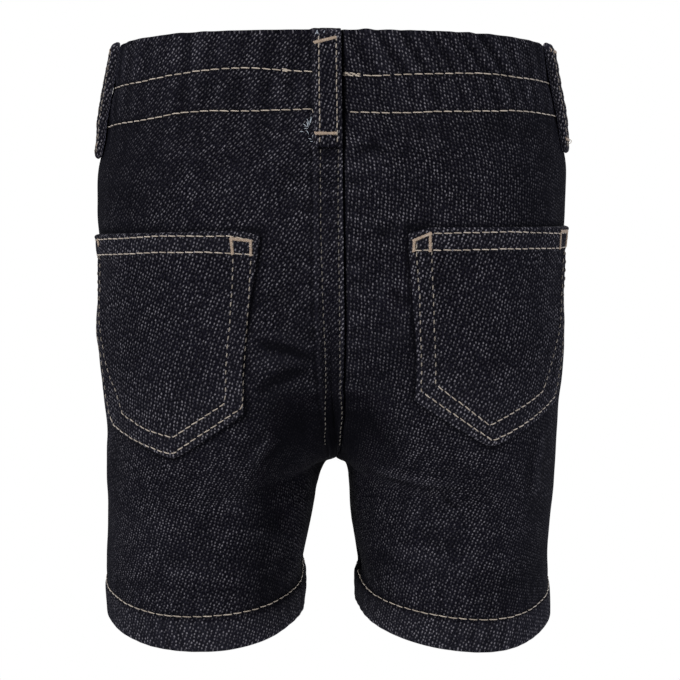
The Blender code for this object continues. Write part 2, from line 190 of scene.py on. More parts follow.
def half_section(side, level):
    """Half a section from its back edge round the side to its front edge, and its widest place."""
    drop = side_drop(level)
    out = smooth(SECTIONS, side, drop)
    crest = smooth(SECTIONS, side + "_crest", drop)
    start = smooth(SECTIONS, "inner", drop)
    turn = np.linspace(0.0, np.pi / 2, SAMPLES)
    faces = []
    for face, sign in (("back", -1.0), ("front", 1.0)):
        inner_x, inner_z, share = inner_edge(side, face, level)
        depth = smooth(SECTIONS, face, drop)
        inner = np.column_stack((
            start + (crest - start) * (1.0 - np.cos(turn)),
            np.sqrt(1.0 - np.cos(turn) ** 2 * (1.0 - share**2)),
        ))
        near_edge = bell(distances(inner * (1.0, depth)), EDGE_REACH)
        inner[:, 0] += (inner_x - start) * near_edge
        outer = np.column_stack((
            crest + (out - crest) * np.sin(turn) ** (2 / SQUARENESS),
            np.cos(turn) ** (2 / SQUARENESS),
        ))
        flat = np.concatenate((inner, outer[1:]))
        run = distances(flat * (1.0, depth))
        across = (1.0 + np.cos(np.pi * run / run[-1])) / 2
        upright = np.clip(flat[:, 1] / max(share, 0.01), 0.0, 1.0)
        weight = upright + (across - upright) * ease(level - 1.0)
        dip = flat[:, 1] ** np.where(flat[:, 0] > crest, HEM_CORNER, 1.0)
        z = -drop + (inner_z + drop) * weight - HEM_DROP[face] * ease(level - 2.0) * dip
        faces.append(np.column_stack((flat[:, 0], sign * depth * flat[:, 1], z)))
    line = np.concatenate((faces[0], faces[1][-2::-1]))
    line[:, 0] *= 1.0 if side == "right" else -1.0
    return line, len(faces[0]) - 1


ROWS = np.concatenate((
    np.linspace(0.0, 1.0, 30, endpoint=False),
    np.linspace(1.0, 2.0, 142, endpoint=False),
    np.linspace(2.0, 3.0, 44, endpoint=False),
    np.linspace(3.0, 4.0, 13),
))
RUN_ON = 14  # mm of the neighbouring cloth that is measured past each edge
LONGEST = 300


def measured_half(side):
    """One half's cloth measured off 1 mm apart on its rows, run on past both its edges."""
    at = np.arange(-RUN_ON, LONGEST)
    points, widest, whole = [], [], []
    for level in ROWS:
        line, wide = half_section(side, level)
        before, after = line[-OVERRUN - 1 : -1], line[1 : OVERRUN + 1]
        if level < 2.0:
            other, _ = half_section("left" if side == "right" else "right", level)
            before, after = other[OVERRUN:0:-1], other[-2 : -OVERRUN - 2 : -1]
        whole_line = np.concatenate((before, line, after))
        run = distances(whole_line)
        run -= run[len(before)]
        points.append(np.column_stack([np.interp(at, run, part) for part in whole_line.T]))
        widest.append(run[len(before) + wide])
        whole.append(run[len(before) + len(line) - 1])
    points = np.array(points)
    normals = np.cross(np.gradient(points, axis=0), np.gradient(points, axis=1))
    normals *= 1.0 if side == "right" else -1.0
    normals /= np.maximum(np.linalg.norm(normals, axis=-1, keepdims=True), 1e-9)
    down = distances(points[:, RUN_ON + 60])
    return {
        "points": points,
        "normals": normals,
        "widest": np.array(widest),
        "whole": np.array(whole),
        "down": down,
    }


halves = {side: measured_half(side) for side in ("left", "right")}


def row_value(side, name, level):
    """A value that each row of a half has, such as its widest distance, at these levels."""
    return np.interp(level, ROWS, halves[side][name])


def on_cloth(side, level, distance):
    """Points and outward normals of one half's cloth at these levels and distances."""
    level, distance = np.broadcast_arrays(np.asarray(level, float), distance)
    row = np.interp(level, ROWS, np.arange(len(ROWS)))
    i = np.clip(row.astype(int), 0, len(ROWS) - 2)
    j = np.clip(np.floor(distance + RUN_ON).astype(int), 0, LONGEST + RUN_ON - 2)
    u = (row - i)[..., None]
    v = (distance + RUN_ON - j)[..., None]
    found = []
    for grid in (halves[side]["points"], halves[side]["normals"]):
        upper = grid[i, j] * (1 - v) + grid[i, j + 1] * v
        lower = grid[i + 1, j] * (1 - v) + grid[i + 1, j + 1] * v
        found.append(upper * (1 - u) + lower * u)
    return found[0], unit(found[1])


def lap(level):
    """How far the left back panel laps past the centre line: it runs out at the crotch."""
    return LAP * (1.0 - ease((level - LAP_ENDS) / (2.0 - LAP_ENDS)))


# Stitch rows of the casing: their levels by the distance from centre back
WAIST_ROWS = {
    "columns": ("distance", "left_upper", "right_upper", "left_lower", "right_lower"),
    "rows": (
        (0.0, 0.535, 0.530, 0.965, 1.000),
        (15.0, 0.503, 0.567, 0.982, 1.003),
        (30.0, 0.470, 0.548, 0.995, 1.003),
        (45.0, 0.483, 0.524, 0.986, 0.995),
        (60.0, 0.522, 0.506, 1.003, 0.972),
        (75.0, 0.562, 0.517, 1.010, 0.940),
        (90.0, 0.567, 0.510, 1.010, 0.933),
        (105.0, 0.567, 0.500, 1.010, 0.920),
        (125.0, 0.550, 0.510, 1.000, 0.935),
        (165.0, 0.530, 0.535, 0.985, 0.975),
        (215.0, 0.540, 0.540, 0.990, 0.990),
    ),
}
CREASES = {  # seen square on: a crease's ends, half-width and height (below 0 a trough)
    "columns": ("x0", "z0", "x1", "z1", "width", "height"),
    "back": (
        # left of the centre-back seam
        (-3.0, -113.5, -29.0, -104.0, 2.6, -1.1),
        (-5.0, -112.0, -31.0, -113.5, 3.4, 0.8),
        (-3.0, -114.0, -28.0, -122.5, 2.8, -1.0),
        (-3.0, -122.0, -24.0, -178.0, 7.5, -2.0),
        (-10.0, -140.0, -40.0, -150.0, 4.5, 0.6),
        (-19.0, -139.5, -30.0, -151.0, 2.6, 1.0),
        (-24.0, -138.0, -36.0, -148.0, 2.6, -0.3),
        (-10.0, -86.0, -30.0, -92.0, 3.5, -0.35),
        (-22.0, -36.0, -50.0, -44.0, 4.0, -0.45),
        (-40.0, -36.0, -66.0, -30.0, 3.0, -0.4),
        (-81.0, -138.0, -82.0, -172.0, 1.8, 0.9),
        (-12.0, -168.0, -22.0, -196.0, 3.5, 0.6),
        (-48.0, -186.0, -64.0, -189.0, 3.4, -0.25),
        (-36.0, -166.0, -60.0, -188.0, 6.0, -0.5),
        # right of it
        (3.0, -124.0, 28.0, -148.0, 7.0, -1.9),
        (7.0, -149.5, 49.0, -155.5, 2.8, 1.0),
        (12.0, -153.5, 50.0, -158.5, 1.5, -0.5),
        (40.0, -160.0, 47.0, -166.0, 1.3, -0.3),
        (9.0, -66.0, 25.0, -61.0, 2.4, -0.6),
        (10.0, -60.0, 18.0, -66.0, 3.0, 0.35),
        (8.0, -35.5, 18.0, -31.5, 2.2, -0.6),
        (14.0, -32.0, 21.0, -36.0, 2.2, -0.45),
        (20.0, -84.0, 30.0, -90.0, 3.2, -0.7),
        (10.0, -116.0, 30.0, -112.0, 4.0, -0.6),
        (8.0, -104.0, 30.0, -100.0, 4.5, 0.5),
        (20.0, -27.0, 46.0, -34.0, 3.5, 0.4),
        (79.0, -138.0, 76.0, -166.0, 2.0, 0.9),
        (66.0, -160.0, 82.0, -172.0, 4.5, -0.4),
        (14.0, -184.0, 34.0, -192.0, 4.0, -0.35),
        (30.0, -172.0, 52.0, -184.0, 6.0, -0.5),
    ),
    "front": (
        (3.0, -130.0, 32.0, -102.0, 6.0, -1.3),
        (-3.0, -126.0, -36.0, -106.0, 6.0, -1.4),
        (-6.0, -148.0, -50.0, -163.0, 5.0, 1.1),
        (7.0, -152.0, 46.0, -172.0, 6.0, 1.0),
        (4.0, -112.0, 28.0, -84.0, 4.5, 0.9),
        (-5.0, -104.0, -26.0, -82.0, 4.0, 0.8),
        (4.0, -118.0, 26.0, -112.0, 2.8, -0.9),
        (-4.0, -112.0, -24.0, -108.0, 2.8, -0.8),
        (20.0, -36.0, 34.0, -58.0, 5.0, -0.5),
        (-28.0, -34.0, -40.0, -54.0, 5.0, 0.5),
        (-60.0, -160.0, -80.0, -176.0, 5.0, 0.7),
        (56.0, -178.0, 76.0, -166.0, 4.5, -0.6),
    ),
}


def creases(points, face):
    """How far the listed creases lift the cloth at these points."""
    height = np.zeros(points.shape[:-1])
    for x0, z0, x1, z1, width, rise in CREASES[face]:
        way = np.array((x1 - x0, z1 - z0))
        off = points[..., (0, 2)] - (x0, z0)
        along = off @ way / (way @ way)
        beside = (off[..., 0] * way[1] - off[..., 1] * way[0]) / np.linalg.norm(way)
        bow = beside - 0.06 * np.linalg.norm(way) * (1.0 - (2.0 * along - 1.0) ** 2)
        fade = np.clip(1.0 - (2.0 * along - 1.0) ** 2, 0.0, 1.0)
        height += rise * fade * bell(bow, width)
    return height


def unevenness(places, size, seed):
    """A slow wander between about -1 and 1 whose swells are about this size across."""
    total = np.zeros(places.shape[:-1])
    for k in range(6):
        turn = seed * 1.7 + k * 2.4
        tilt = seed * 0.9 + k * 1.1
        way = (np.cos(turn) * np.cos(tilt), np.sin(turn) * np.cos(tilt), np.sin(tilt))
        waves = places @ np.array(way) * (2 * np.pi / size) * (0.7 + 0.13 * k)
        total += np.sin(waves + seed * 3.1 + k * k)
    return total / 2.6


RIPPLES = {  # where each trough of the gathers is at the waist edge, how much further round it is
    # by the upper row, its depth above and below that row, and its half-width
    "right": (
        (8.4, 8.5, 1.60, 0.30, 2.4),
        (18.4, 9.8, 0.80, 0.25, 1.8),
        (27.2, 9.6, 0.70, 0.20, 1.7),
        (38.0, 9.0, 0.42, 0.30, 1.5),
        (48.4, 11.0, 0.65, 0.45, 1.8),
        (56.6, 11.5, 0.95, 0.60, 2.1),
        (67.0, 7.0, 0.32, 0.60, 2.3),
        (77.0, 4.0, 0.25, 0.25, 2.3),
        (87.0, 3.0, 0.30, 0.30, 2.0),
        (96.0, 2.0, 0.45, 0.40, 2.1),
        (104.5, -2.0, 0.75, 0.40, 2.0),
        (113.0, -4.0, 0.60, 0.55, 1.8),
        (122.5, -6.0, 0.80, 0.45, 2.2),
        (131.0, -6.5, 0.65, 0.30, 1.7),
        (141.5, -7.5, 0.90, 0.50, 2.0),
        (150.5, -7.0, 0.60, 0.35, 1.8),
        (160.0, -8.0, 0.85, 0.45, 2.1),
        (169.5, -7.0, 0.70, 0.40, 1.9),
        (179.0, -7.5, 0.80, 0.30, 2.0),
        (188.5, -6.0, 0.60, 0.40, 1.8),
        (198.0, -5.5, 0.75, 0.35, 2.1),
    ),
    "left": (
        (8.0, 4.5, 0.22, 0.30, 2.6),
        (18.5, 3.5, 0.25, 0.40, 2.6),
        (30.0, 3.0, 0.20, 0.22, 3.0),
        (41.5, 3.0, 0.34, 0.25, 2.8),
        (51.0, 2.0, 0.42, 0.35, 2.6),
        (62.0, 3.0, 0.25, 0.30, 3.0),
        (69.0, 2.5, 0.48, 0.20, 3.2),
        (79.0, 2.0, 0.25, 0.25, 2.5),
        (88.0, 2.5, 0.35, 0.25, 2.2),
        (96.0, 1.5, 0.60, 0.45, 2.1),
        (105.5, -2.0, 0.70, 0.40, 2.0),
        (114.5, -3.5, 0.55, 0.50, 1.9),
        (124.0, -6.0, 0.85, 0.35, 2.1),
        (133.5, -7.0, 0.65, 0.45, 1.8),
        (142.5, -6.5, 0.80, 0.40, 2.0),
        (152.0, -8.0, 0.70, 0.30, 1.9),
        (161.5, -7.0, 0.90, 0.50, 2.2),
        (171.0, -7.5, 0.60, 0.40, 1.8),
        (180.0, -6.5, 0.75, 0.35, 2.0),
        (189.5, -6.0, 0.65, 0.45, 2.1),
        (198.5, -5.0, 0.70, 0.30, 1.9),
    ),
}


def waist_ripples(side, level, distance):
    """The gathered casing: a puff between its rows of stitches, with slanting troughs."""
    upper = smooth(WAIST_ROWS, side + "_upper", distance)
    lower = smooth(WAIST_ROWS, side + "_lower", distance)
    top = np.clip(level / upper, 0.0, 1.0)
    middle = np.clip((level - upper) / (lower - upper), 0.0, 1.0)
    below = np.clip(level - lower, 0.0, None) * 130.0
    channel = np.where(level < upper, top, middle)
    puff = np.where(level < lower, np.sin(np.pi * channel), 0.0)
    in_top = np.where(level < upper, 0.65 + 0.35 * np.sin(np.pi * top), 0.0)
    in_middle = np.where((level >= upper) & (level < lower), 0.25 + 0.75 * puff, 0.0)
    hanging = np.where(level >= lower, 0.45 * bell(below, 13.0), 0.0)
    at_row = bell(level - upper, 0.03)
    height = 0.5 * puff
    for at, slant, over, under, width in RIPPLES[side]:
        middle_line = at + slant * np.minimum(level / upper, 1.0) + 0.4 * slant * middle
        off = (distance - middle_line - 0.02 * below * slant) / width
        depth = over * in_top * (1.0 - 0.5 * at_row) + under * in_middle + under * hanging
        trough = np.exp(-(off**2)) - 0.45 * bell(np.abs(off) - 2.0, 1.1)
        height = height - depth * trough
    return height


HEM_ROWS = {"left": (2.965, -0.055), "right": (2.985, 0.04)}  # its level, and how that ends


def hem_row(side, distance):
    """The level of the hem's row of stitches, which swerves at the inseam."""
    level, swerve = HEM_ROWS[side]
    level = level + 0.012 * np.sin(distance / 14.0)
    return level + swerve * bell(distance, 9.0)


def hem_roping(side, level, distance):
    """The twisted look of a sewn hem: slanting puckers between its row and its fold."""
    hem = ease((level - 2.9) / 0.14)
    turns = distance / 6.4 + (level - 3.0) * 0.75 + 0.4 * np.sin(distance / 15.0)
    puckers = 0.08 * hem * (0.7 + 0.5 * np.sin(distance / 11.0)) * np.cos(2 * np.pi * turns)
    row = bell(level - 2.98, 0.09)
    above = 0.06 * bell(level - 2.85, 0.12) * np.cos(2 * np.pi * turns)
    whole = row_value(side, "whole", level)
    by_inseam = bell(distance, 22.0) + 0.4 * bell(whole - distance, 16.0)
    below = level - hem_row(side, distance)
    upward = np.where(below < -0.06, 0.24, 0.07)
    pinched = 2.3 * by_inseam * bell(below + 0.06, upward)
    turned = 0.5 * by_inseam * bell(below - 0.28, 0.25)
    return 0.45 * hem + puckers + above - 0.3 * row - pinched + turned


def seam_dip(off):
    """The groove of a seam pressed open, by the distance from its edge."""
    return -bell(off, SEAM_ROUND)


def relief(side, face, level, distance, points):
    """How far the sewn cloth stands out from its plain form."""
    seam = row_value(side, "widest", level) + SIDE_SEAM_FORWARD
    height = creases(points, face) + 0.3 * unevenness(points, 46.0, 1.0)
    height += 0.1 * unevenness(points, 17.0, 4.0)
    height += waist_ripples(side, level, distance) + hem_roping(side, level, distance)
    off = np.abs(distance - seam)
    height += seam_dip(off)
    height += 0.12 * bell(off, 4.0) * np.cos(points[..., 2] * 2 * np.pi / 7.5)
    if face == "front":
        return height + seam_dip(row_value(side, "whole", level) - distance)
    inseam = ease((level - 1.96) / 0.06)
    height += inseam * seam_dip(np.abs(distance))
    held = lap(level) / LAP * (1.0 - inseam)
    puckers = np.cos(points[..., 2] * 2 * np.pi / 8.6 + 1.3 * np.sin(points[..., 2] / 23.0))
    if side == "left":
        band = 1.0 - ease((distance - (FELL - LAP)) / 1.6)
        height += held * FELL_RISE * band
        height -= held * 0.35 * bell(distance + LAP, 0.5)
        beside = bell(np.clip(distance - 5.5, 0.0, None), 5.0)
        height += 0.16 * puckers * beside * (1.0 - 0.6 * band)
        height -= held * 0.22 * bell(distance - 3.2, 0.7)
        return height - held * 0.22 * bell(distance + 3.2, 0.7)
    under = 1.0 - ease((distance - lap(level) + 0.2) / 1.7)
    height -= (1.0 - inseam) * 1.9 * under
    return height + 0.2 * puckers * bell(distance - 8.0, 4.5)


def laid(side, face, level, distance):
    """Points and normals of the finished outside of a panel."""
    points, normals = on_cloth(side, level, distance)
    height = relief(side, face, level, distance, points)
    return points + height[..., None] * normals, normals


GRAIN_LEAN = {  # how far the warp leans, in degrees, above the crotch: half of it down the legs
    ("left", "back"): 7.0,
    ("right", "back"): -11.5,
    ("left", "front"): -4.0,
    ("right", "front"): 4.0,
}
LEAN_MIDDLE = 60.0  # the leaning warp turns about a line this far from the widest


def grain_of(side, face, level, distance):
    """Where these places lie on the flat cloth, across and along its warp."""
    down = row_value(side, "down", level)
    across = row_value(side, "widest", level) - distance
    across = across if side == "left" else -across
    most = np.sin(np.radians(GRAIN_LEAN[side, face]))
    lean = most * (1.0 - 0.5 * ease((level - 1.45) / 0.7))
    steps = np.diff(halves[side]["down"], prepend=0.0)
    leans = most * (1.0 - 0.5 * ease((ROWS - 1.45) / 0.7))
    drift = np.interp(level, ROWS, np.cumsum(leans * steps))
    middle = LEAN_MIDDLE if side == "left" else -LEAN_MIDDLE
    return across + drift, -down + lean * (across - middle)


ROLL = 5  # points round each fold, between the outside and the inside


def shell(name, outer, inner, up, down, outer_grain, inner_grain, reverse, finish):
    """A closed piece of cloth whose first and last rows are folds.

    outer and inner are grids of rows and columns, and up and down the ways that its two folds
    point. The grain attribute holds the place on the flat cloth and the side of the cloth that
    shows, and the other attribute the wear, the painted shade and how strongly the specks show."""
    rows, columns = outer.shape[:2]

    def fold(first, last, way):
        turn = np.linspace(0.0, np.pi, ROLL + 2)[1:-1, None, None]
        centre, arm = (first + last) / 2, (first - last) / 2
        reach = np.linalg.norm(arm, axis=-1, keepdims=True) * way
        return centre + np.cos(turn) * arm + np.sin(turn) * reach

    def spread(first, last):
        share = np.linspace(0.0, 1.0, ROLL + 2)[1:-1, None, None]
        return first + (last - first) * share

    rings = np.concatenate((
        outer,
        fold(outer[-1], inner[-1], down),
        inner[::-1],
        fold(inner[0], outer[0], up),
    ))
    marks = np.concatenate((outer_grain, reverse[0][..., None]), axis=-1)
    inner_marks = np.concatenate((inner_grain, reverse[1][..., None]), axis=-1)
    marks = np.concatenate((
        marks,
        spread(marks[-1], inner_marks[-1]),
        inner_marks[::-1],
        spread(inner_marks[0], marks[0]),
    ))
    finish = np.concatenate((
        finish,
        spread(finish[-1], finish[-1]),
        finish[::-1],
        spread(finish[0], finish[0]),
    ))
    count = len(rings)
    index = np.arange(count * columns).reshape(count, columns)
    after = np.roll(index, -1, axis=0)
    quads = np.stack((index[:, :-1], after[:, :-1], after[:, 1:], index[:, 1:]), -1)
    faces = quads.reshape(-1, 4).tolist()
    inside = index[rows + ROLL : 2 * rows + ROLL][::-1]
    for edge, turned in ((0, 1), (-1, -1)):
        out, back = index[:rows, edge], inside[:, edge]
        cap = np.stack((out[:-1], back[:-1], back[1:], out[1:]), -1)
        faces += cap[:, ::turned].tolist()
        bottom = index[rows - 1 : rows + ROLL + 1, edge]
        top = np.append(index[2 * rows + ROLL - 1 :, edge], index[0, edge])
        faces += [bottom[::-turned].tolist(), top[::-turned].tolist()]
    points = rings.reshape(-1, 3) * MM
    corners = points[quads.reshape(-1, 4)]
    cross = np.cross(corners[:, 1] - corners[:, 0], corners[:, 2] - corners[:, 0])
    if np.einsum("ij,ij->", corners[:, 0], cross) < 0:
        faces = [face[::-1] for face in faces]
    data = bpy.data.meshes.new(name)
    data.from_pydata(points.tolist(), [], faces)
    for label, values in (("grain", marks), ("finish", finish)):
        layer = data.attributes.new(label, "FLOAT_VECTOR", "POINT")
        layer.data.foreach_set("vector", values.reshape(-1, 3).ravel())
    data.shade_smooth()
    data.set_sharp_from_angle(angle=np.radians(60))
    piece = bpy.data.objects.new(name, data)
    bpy.context.scene.collection.objects.link(piece)
    return piece


def linear(code):
    """The linear colour of an sRGB hex value."""
    parts = [int(code[k : k + 2], 16) / 255 for k in (0, 2, 4)]
    return [c / 12.92 if c <= 0.04045 else ((c + 0.055) / 1.055) ** 2.4 for c in parts] + [1.0]


def add_node(tree, kind, settings=(), inputs=()):
    """Add a shader node and give its outputs.

    settings are its own, or the name of its operation, and inputs are values or the sockets that
    feed it, in order or by name or number."""
    made = tree.nodes.new("ShaderNode" + kind)
    settings = {"operation": settings} if isinstance(settings, str) else dict(settings)
    for name, value in settings.items():
        setattr(made, name, value)
    inputs = inputs if isinstance(inputs, dict) else dict(enumerate(inputs))
    for name, value in inputs.items():
        if isinstance(value, bpy.types.NodeSocket):
            tree.links.new(value, made.inputs[name])
        else:
            made.inputs[name].default_value = value
    return made.outputs


# Rinsed indigo denim, a cotton 3 by 1 twill. The indigo warp covers the face, and the white weft
# shows through it only as specks, in lines that climb to the right. The back shows more of the
# weft, but is kept dark here.
# Matt, with a soft bluish bloom of fibres at a slant. The real threads are 0.4 mm apart, too
# fine for the render, so only the specks are drawn, 1.4 mm apart as the photograph has them.
WARP_INK = "020204"
WARP_LIGHT = "17161E"
WEFT_SPECK = "626066"
WEFT_FACE = "5C5C69"
BLOOM = "7C86A8"
PAINTED_SHADE = "060609"  # painted shade: what the shade attribute darkens the cloth towards, where shade falls
SPECK_LINES = (69.0, 153.0)  # which way the two sets of lines run, in degrees
SPECK_APART = 1.36
SPECK_LONG = 0.42
SPECK_WIDE = 0.27
THREAD_WANDER = 0.9
CLOUDS = {  # the cloth's unevenness: the size of its swells, their detail and their roughness
    "wander": (4.0, 2.0, 0.5),
    "patches": (9.0, 4.0, 0.5),
    "flecks": (3.0, 2.0, 0.5),
    "tone": (38.0, 4.0, 0.6),
    "fibres": (0.7, 2.0, 0.8),
}
SMOOTH = {"interpolation_type": "SMOOTHSTEP"}
COLOURS = {"data_type": "RGBA"}


def rinsed_denim(name):
    """The denim of every cloth piece."""
    made = bpy.data.materials.new(name)
    made.use_nodes = True
    tree = made.node_tree
    shader = tree.nodes["Principled BSDF"]
    node = partial(add_node, tree)
    grain = node("Attribute", {"attribute_name": "grain"})["Vector"]
    finish = node("Attribute", {"attribute_name": "finish"})["Vector"]
    reverse = node("SeparateXYZ", (), (grain,))[2]
    wear, shade, shows = node("SeparateXYZ", (), (finish,))
    clouds = {
        label: node("TexNoise", {"noise_dimensions": "3D"}, {
            "Vector": grain, "Scale": 1.0 / size, "Detail": detail, "Roughness": rough,
        })
        for label, (size, detail, rough) in CLOUDS.items()
    }
    # Threads wander a little, so the lines of specks do too
    wander = node("VectorMath", "SUBTRACT", (clouds["wander"]["Color"], (0.5, 0.5, 0.5)))[0]
    wander = node("VectorMath", "SCALE", {0: wander, 3: THREAD_WANDER})[0]
    place = node("VectorMath", "ADD", (grain, wander))[0]
    basis = SPECK_APART * np.array([
        [np.cos(np.radians(turn)) for turn in SPECK_LINES],
        [np.sin(np.radians(turn)) for turn in SPECK_LINES],
    ])
    cells = [
        node("VectorMath", "DOT_PRODUCT", (place, (float(x), float(y), 0.0)))["Value"]
        for x, y in np.linalg.inv(basis)
    ]
    whole = [node("Math", "FLOOR", (cell,))[0] for cell in cells]
    chance = node("TexWhiteNoise", {"noise_dimensions": "3D"}, node("CombineXYZ", (), whole))
    chances = node("SeparateXYZ", (), (chance["Color"],))
    # How far a place is from the middle of its cell's speck, 1 at the speck's edge
    off = []
    for cell, first, luck, reach in zip(cells, whole, chances, (SPECK_LONG, SPECK_WIDE)):
        shift = node("Math", "MULTIPLY_ADD", (luck, 0.42, -0.71))[0]
        local = node("Math", "ADD", (node("Math", "SUBTRACT", (cell, first))[0], shift))[0]
        local = node("Math", "MULTIPLY", (local, SPECK_APART / reach))[0]
        off.append(node("Math", "POWER", (local, 2.0))[0])
    near = node("Math", "SQRT", node("Math", "ADD", off))[0]
    # How strongly it shows: by chance, in patches, more where the cloth shows wear, and less at
    # the sides and in the painted shade
    strength = node("Math", "POWER", (chance["Value"], 1.2))[0]
    strength = node("Math", "ADD", (strength, 0.14))[0]
    for factor in (
        node("MapRange", SMOOTH, (clouds["patches"][0], 0.3, 0.7, 0.45, 1.15))[0],
        shows,
        node("MapRange", SMOOTH, (clouds["flecks"][0], 0.3, 0.65, 0.7, 1.1))[0],
        node("Math", "MULTIPLY_ADD", (wear, 2.2, 1.0))[0],
    ):
        strength = node("Math", "MULTIPLY", (strength, factor))[0]
    strength = node("Math", "MINIMUM", (strength, 1.6))[0]
    speck = node("MapRange", SMOOTH, (near, 1.4, 0.25))[0]
    speck = node("Math", "MULTIPLY", (speck, strength))[0]
    tone = node("MapRange", SMOOTH, (clouds["tone"][0], 0.3, 0.7))[0]
    tone = node("Math", "MULTIPLY", (tone, 0.15))[0]
    fibres = clouds["fibres"][0]
    lit = node("MapRange", SMOOTH, (fibres, 0.4, 0.68))[0]
    tone = node("Math", "MULTIPLY_ADD", (lit, 0.85, tone))[0]
    faded = node("Math", "MULTIPLY", (wear, 0.12))[0]
    between = node("Math", "MULTIPLY", (near, 0.75))[0]
    back = node("Mix", COLOURS, {0: between, 6: linear(WEFT_FACE), 7: linear(WARP_LIGHT)})[2]
    turned = node("MapRange", SMOOTH, (reverse, 0.45, 0.55))[0]
    # The shade attribute paints shade: in seams, creases, furrows, by the pockets and where light
    # falls off
    shade_share = node("Math", "MULTIPLY", (shade, 0.8))[0]
    colour = linear(WARP_INK)
    for share, over in (
        (tone, linear(WARP_LIGHT)),
        (faded, linear(WEFT_FACE)),
        (speck, linear(WEFT_SPECK)),
        (turned, back),
        (shade_share, linear(PAINTED_SHADE)),
    ):
        colour = node("Mix", COLOURS, {0: share, 6: colour, 7: over})[2]
    height = node("Math", "MULTIPLY", (fibres, 0.5))[0]
    height = node("Math", "MULTIPLY_ADD", (near, 0.6, height))[0]
    bump = node("Bump", (), {"Height": height, "Strength": 0.5, "Distance": 0.1 * MM})[0]
    rough = node("MapRange", SMOOTH, (fibres, 0.3, 0.7, 0.82, 0.95))[0]
    for name, socket in (("Base Color", colour), ("Normal", bump), ("Roughness", rough)):
        tree.links.new(socket, shader.inputs[name])
    shader.inputs["IOR"].default_value = 1.45
    shader.inputs["Specular IOR Level"].default_value = 0.02
    shader.inputs["Sheen Weight"].default_value = 0.006
    shader.inputs["Sheen Roughness"].default_value = 0.45
    shader.inputs["Sheen Tint"].default_value = linear(BLOOM)
    return made


denim = rinsed_denim("rinsed_indigo_twill")

PANEL_ROWS = np.concatenate((
    np.linspace(0.045, 1.0, 30, endpoint=False),
    np.linspace(1.0, 1.08, 10, endpoint=False),
    np.linspace(1.08, 2.0, 100, endpoint=False),
    np.linspace(2.0, 2.85, 30, endpoint=False),
    np.linspace(2.85, 3.1, 11, endpoint=False),
    np.linspace(3.1, 3.89, 11),
))
SEAM_SHOW = -0.03  # each of two panels that a seam joins runs this far past it
INSIDE_GRAIN = (0.6, 0.4)  # so that the inside's specks aren't the outside's


def panel_columns(side, face, level):
    """Distances of a panel's columns, close together at its seams."""
    seam = row_value(side, "widest", level) + SIDE_SEAM_FORWARD
    whole = row_value(side, "whole", level)
    by_seam = np.array((0.0, 0.3, 0.6, 1.0, 1.5, 2.2, 3.0))
    if face == "front":
        start, end = seam + SEAM_SHOW, whole - SEAM_SHOW
        middle = np.linspace(start + 4.0, end - 4.0, 76)
        return np.concatenate((start + by_seam, middle, end - by_seam[::-1]))
    start = -lap(level) if side == "left" else max(lap(level) - 0.9, 0.0)
    start, end = start + SEAM_SHOW, seam - SEAM_SHOW
    near = start + 0.5 * np.arange(26)
    middle = np.linspace(start + 13.6, end - 4.0, 100)
    return np.concatenate((near, middle, end - by_seam[::-1]))


def wall_at(side, level, distance):
    """The cloth's thickness: more under the casing and the hem, where it is turned in."""
    lower = smooth(WAIST_ROWS, side + "_lower", distance)
    casing = 1.0 - ease((level - lower - 0.022) / 0.012)
    hem = ease((level - 2.9) / 0.03)
    return CLOTH + (CASING_WALL - CLOTH) * casing + (HEM_WALL - CLOTH) * hem


POCKETS = {  # the top's middle from the side line, its height and its slope; how far down are the
    # corner by the side, the corner by the centre and the tip; how much nearer the centre the tip
    # is than the top; how far the top's inner corner is cut away; how far the grain leans
    "left": (58.3, -66.3, 0.060, 68.7, 65.2, 81.4, 11.3, 2.0, -5.0),
    "right": (55.5, -64.3, 0.035, 63.9, 61.5, 78.5, 16.0, 2.2, 4.0),
}
POCKET_TOP_HALF = 42.0
POCKET_CORNER_HALVES = (35.5, 32.8)  # by the side, by the centre
POCKET_DRAWN_IN = {"left": 1.6, "right": 0.4}


def pocket_outline(side):
    """A pocket's five corners, as distances from the side line and heights."""
    middle, top, slope, by_side, by_centre, tip, lean, _, _ = POCKETS[side]
    spots = (
        (-POCKET_TOP_HALF, 0.0),
        (POCKET_TOP_HALF, 0.0),
        (POCKET_CORNER_HALVES[1] - POCKET_DRAWN_IN[side] + lean * by_centre / tip, by_centre),
        (lean, tip),
        (-POCKET_CORNER_HALVES[0] + lean * by_side / tip, by_side),
    )
    return np.array([(middle + x, top + slope * x - drop) for x, drop in spots])


def pocket_edge_shadow(side, from_side, z):
    """1 along a pocket's edge, fading to 0 within a few millimetres of it: its painted shadow on
    the panel.
    """
    place = np.stack((from_side, z), -1)
    corners = pocket_outline(side)
    near = np.full(from_side.shape, 99.0)
    for a, b in zip(corners, np.roll(corners, -1, axis=0)):
        along = np.clip((place - a) @ (b - a) / ((b - a) @ (b - a)), 0.0, 1.0)
        near = np.minimum(near, np.linalg.norm(place - a - along[..., None] * (b - a), axis=-1))
    return bell(near, 1.8)


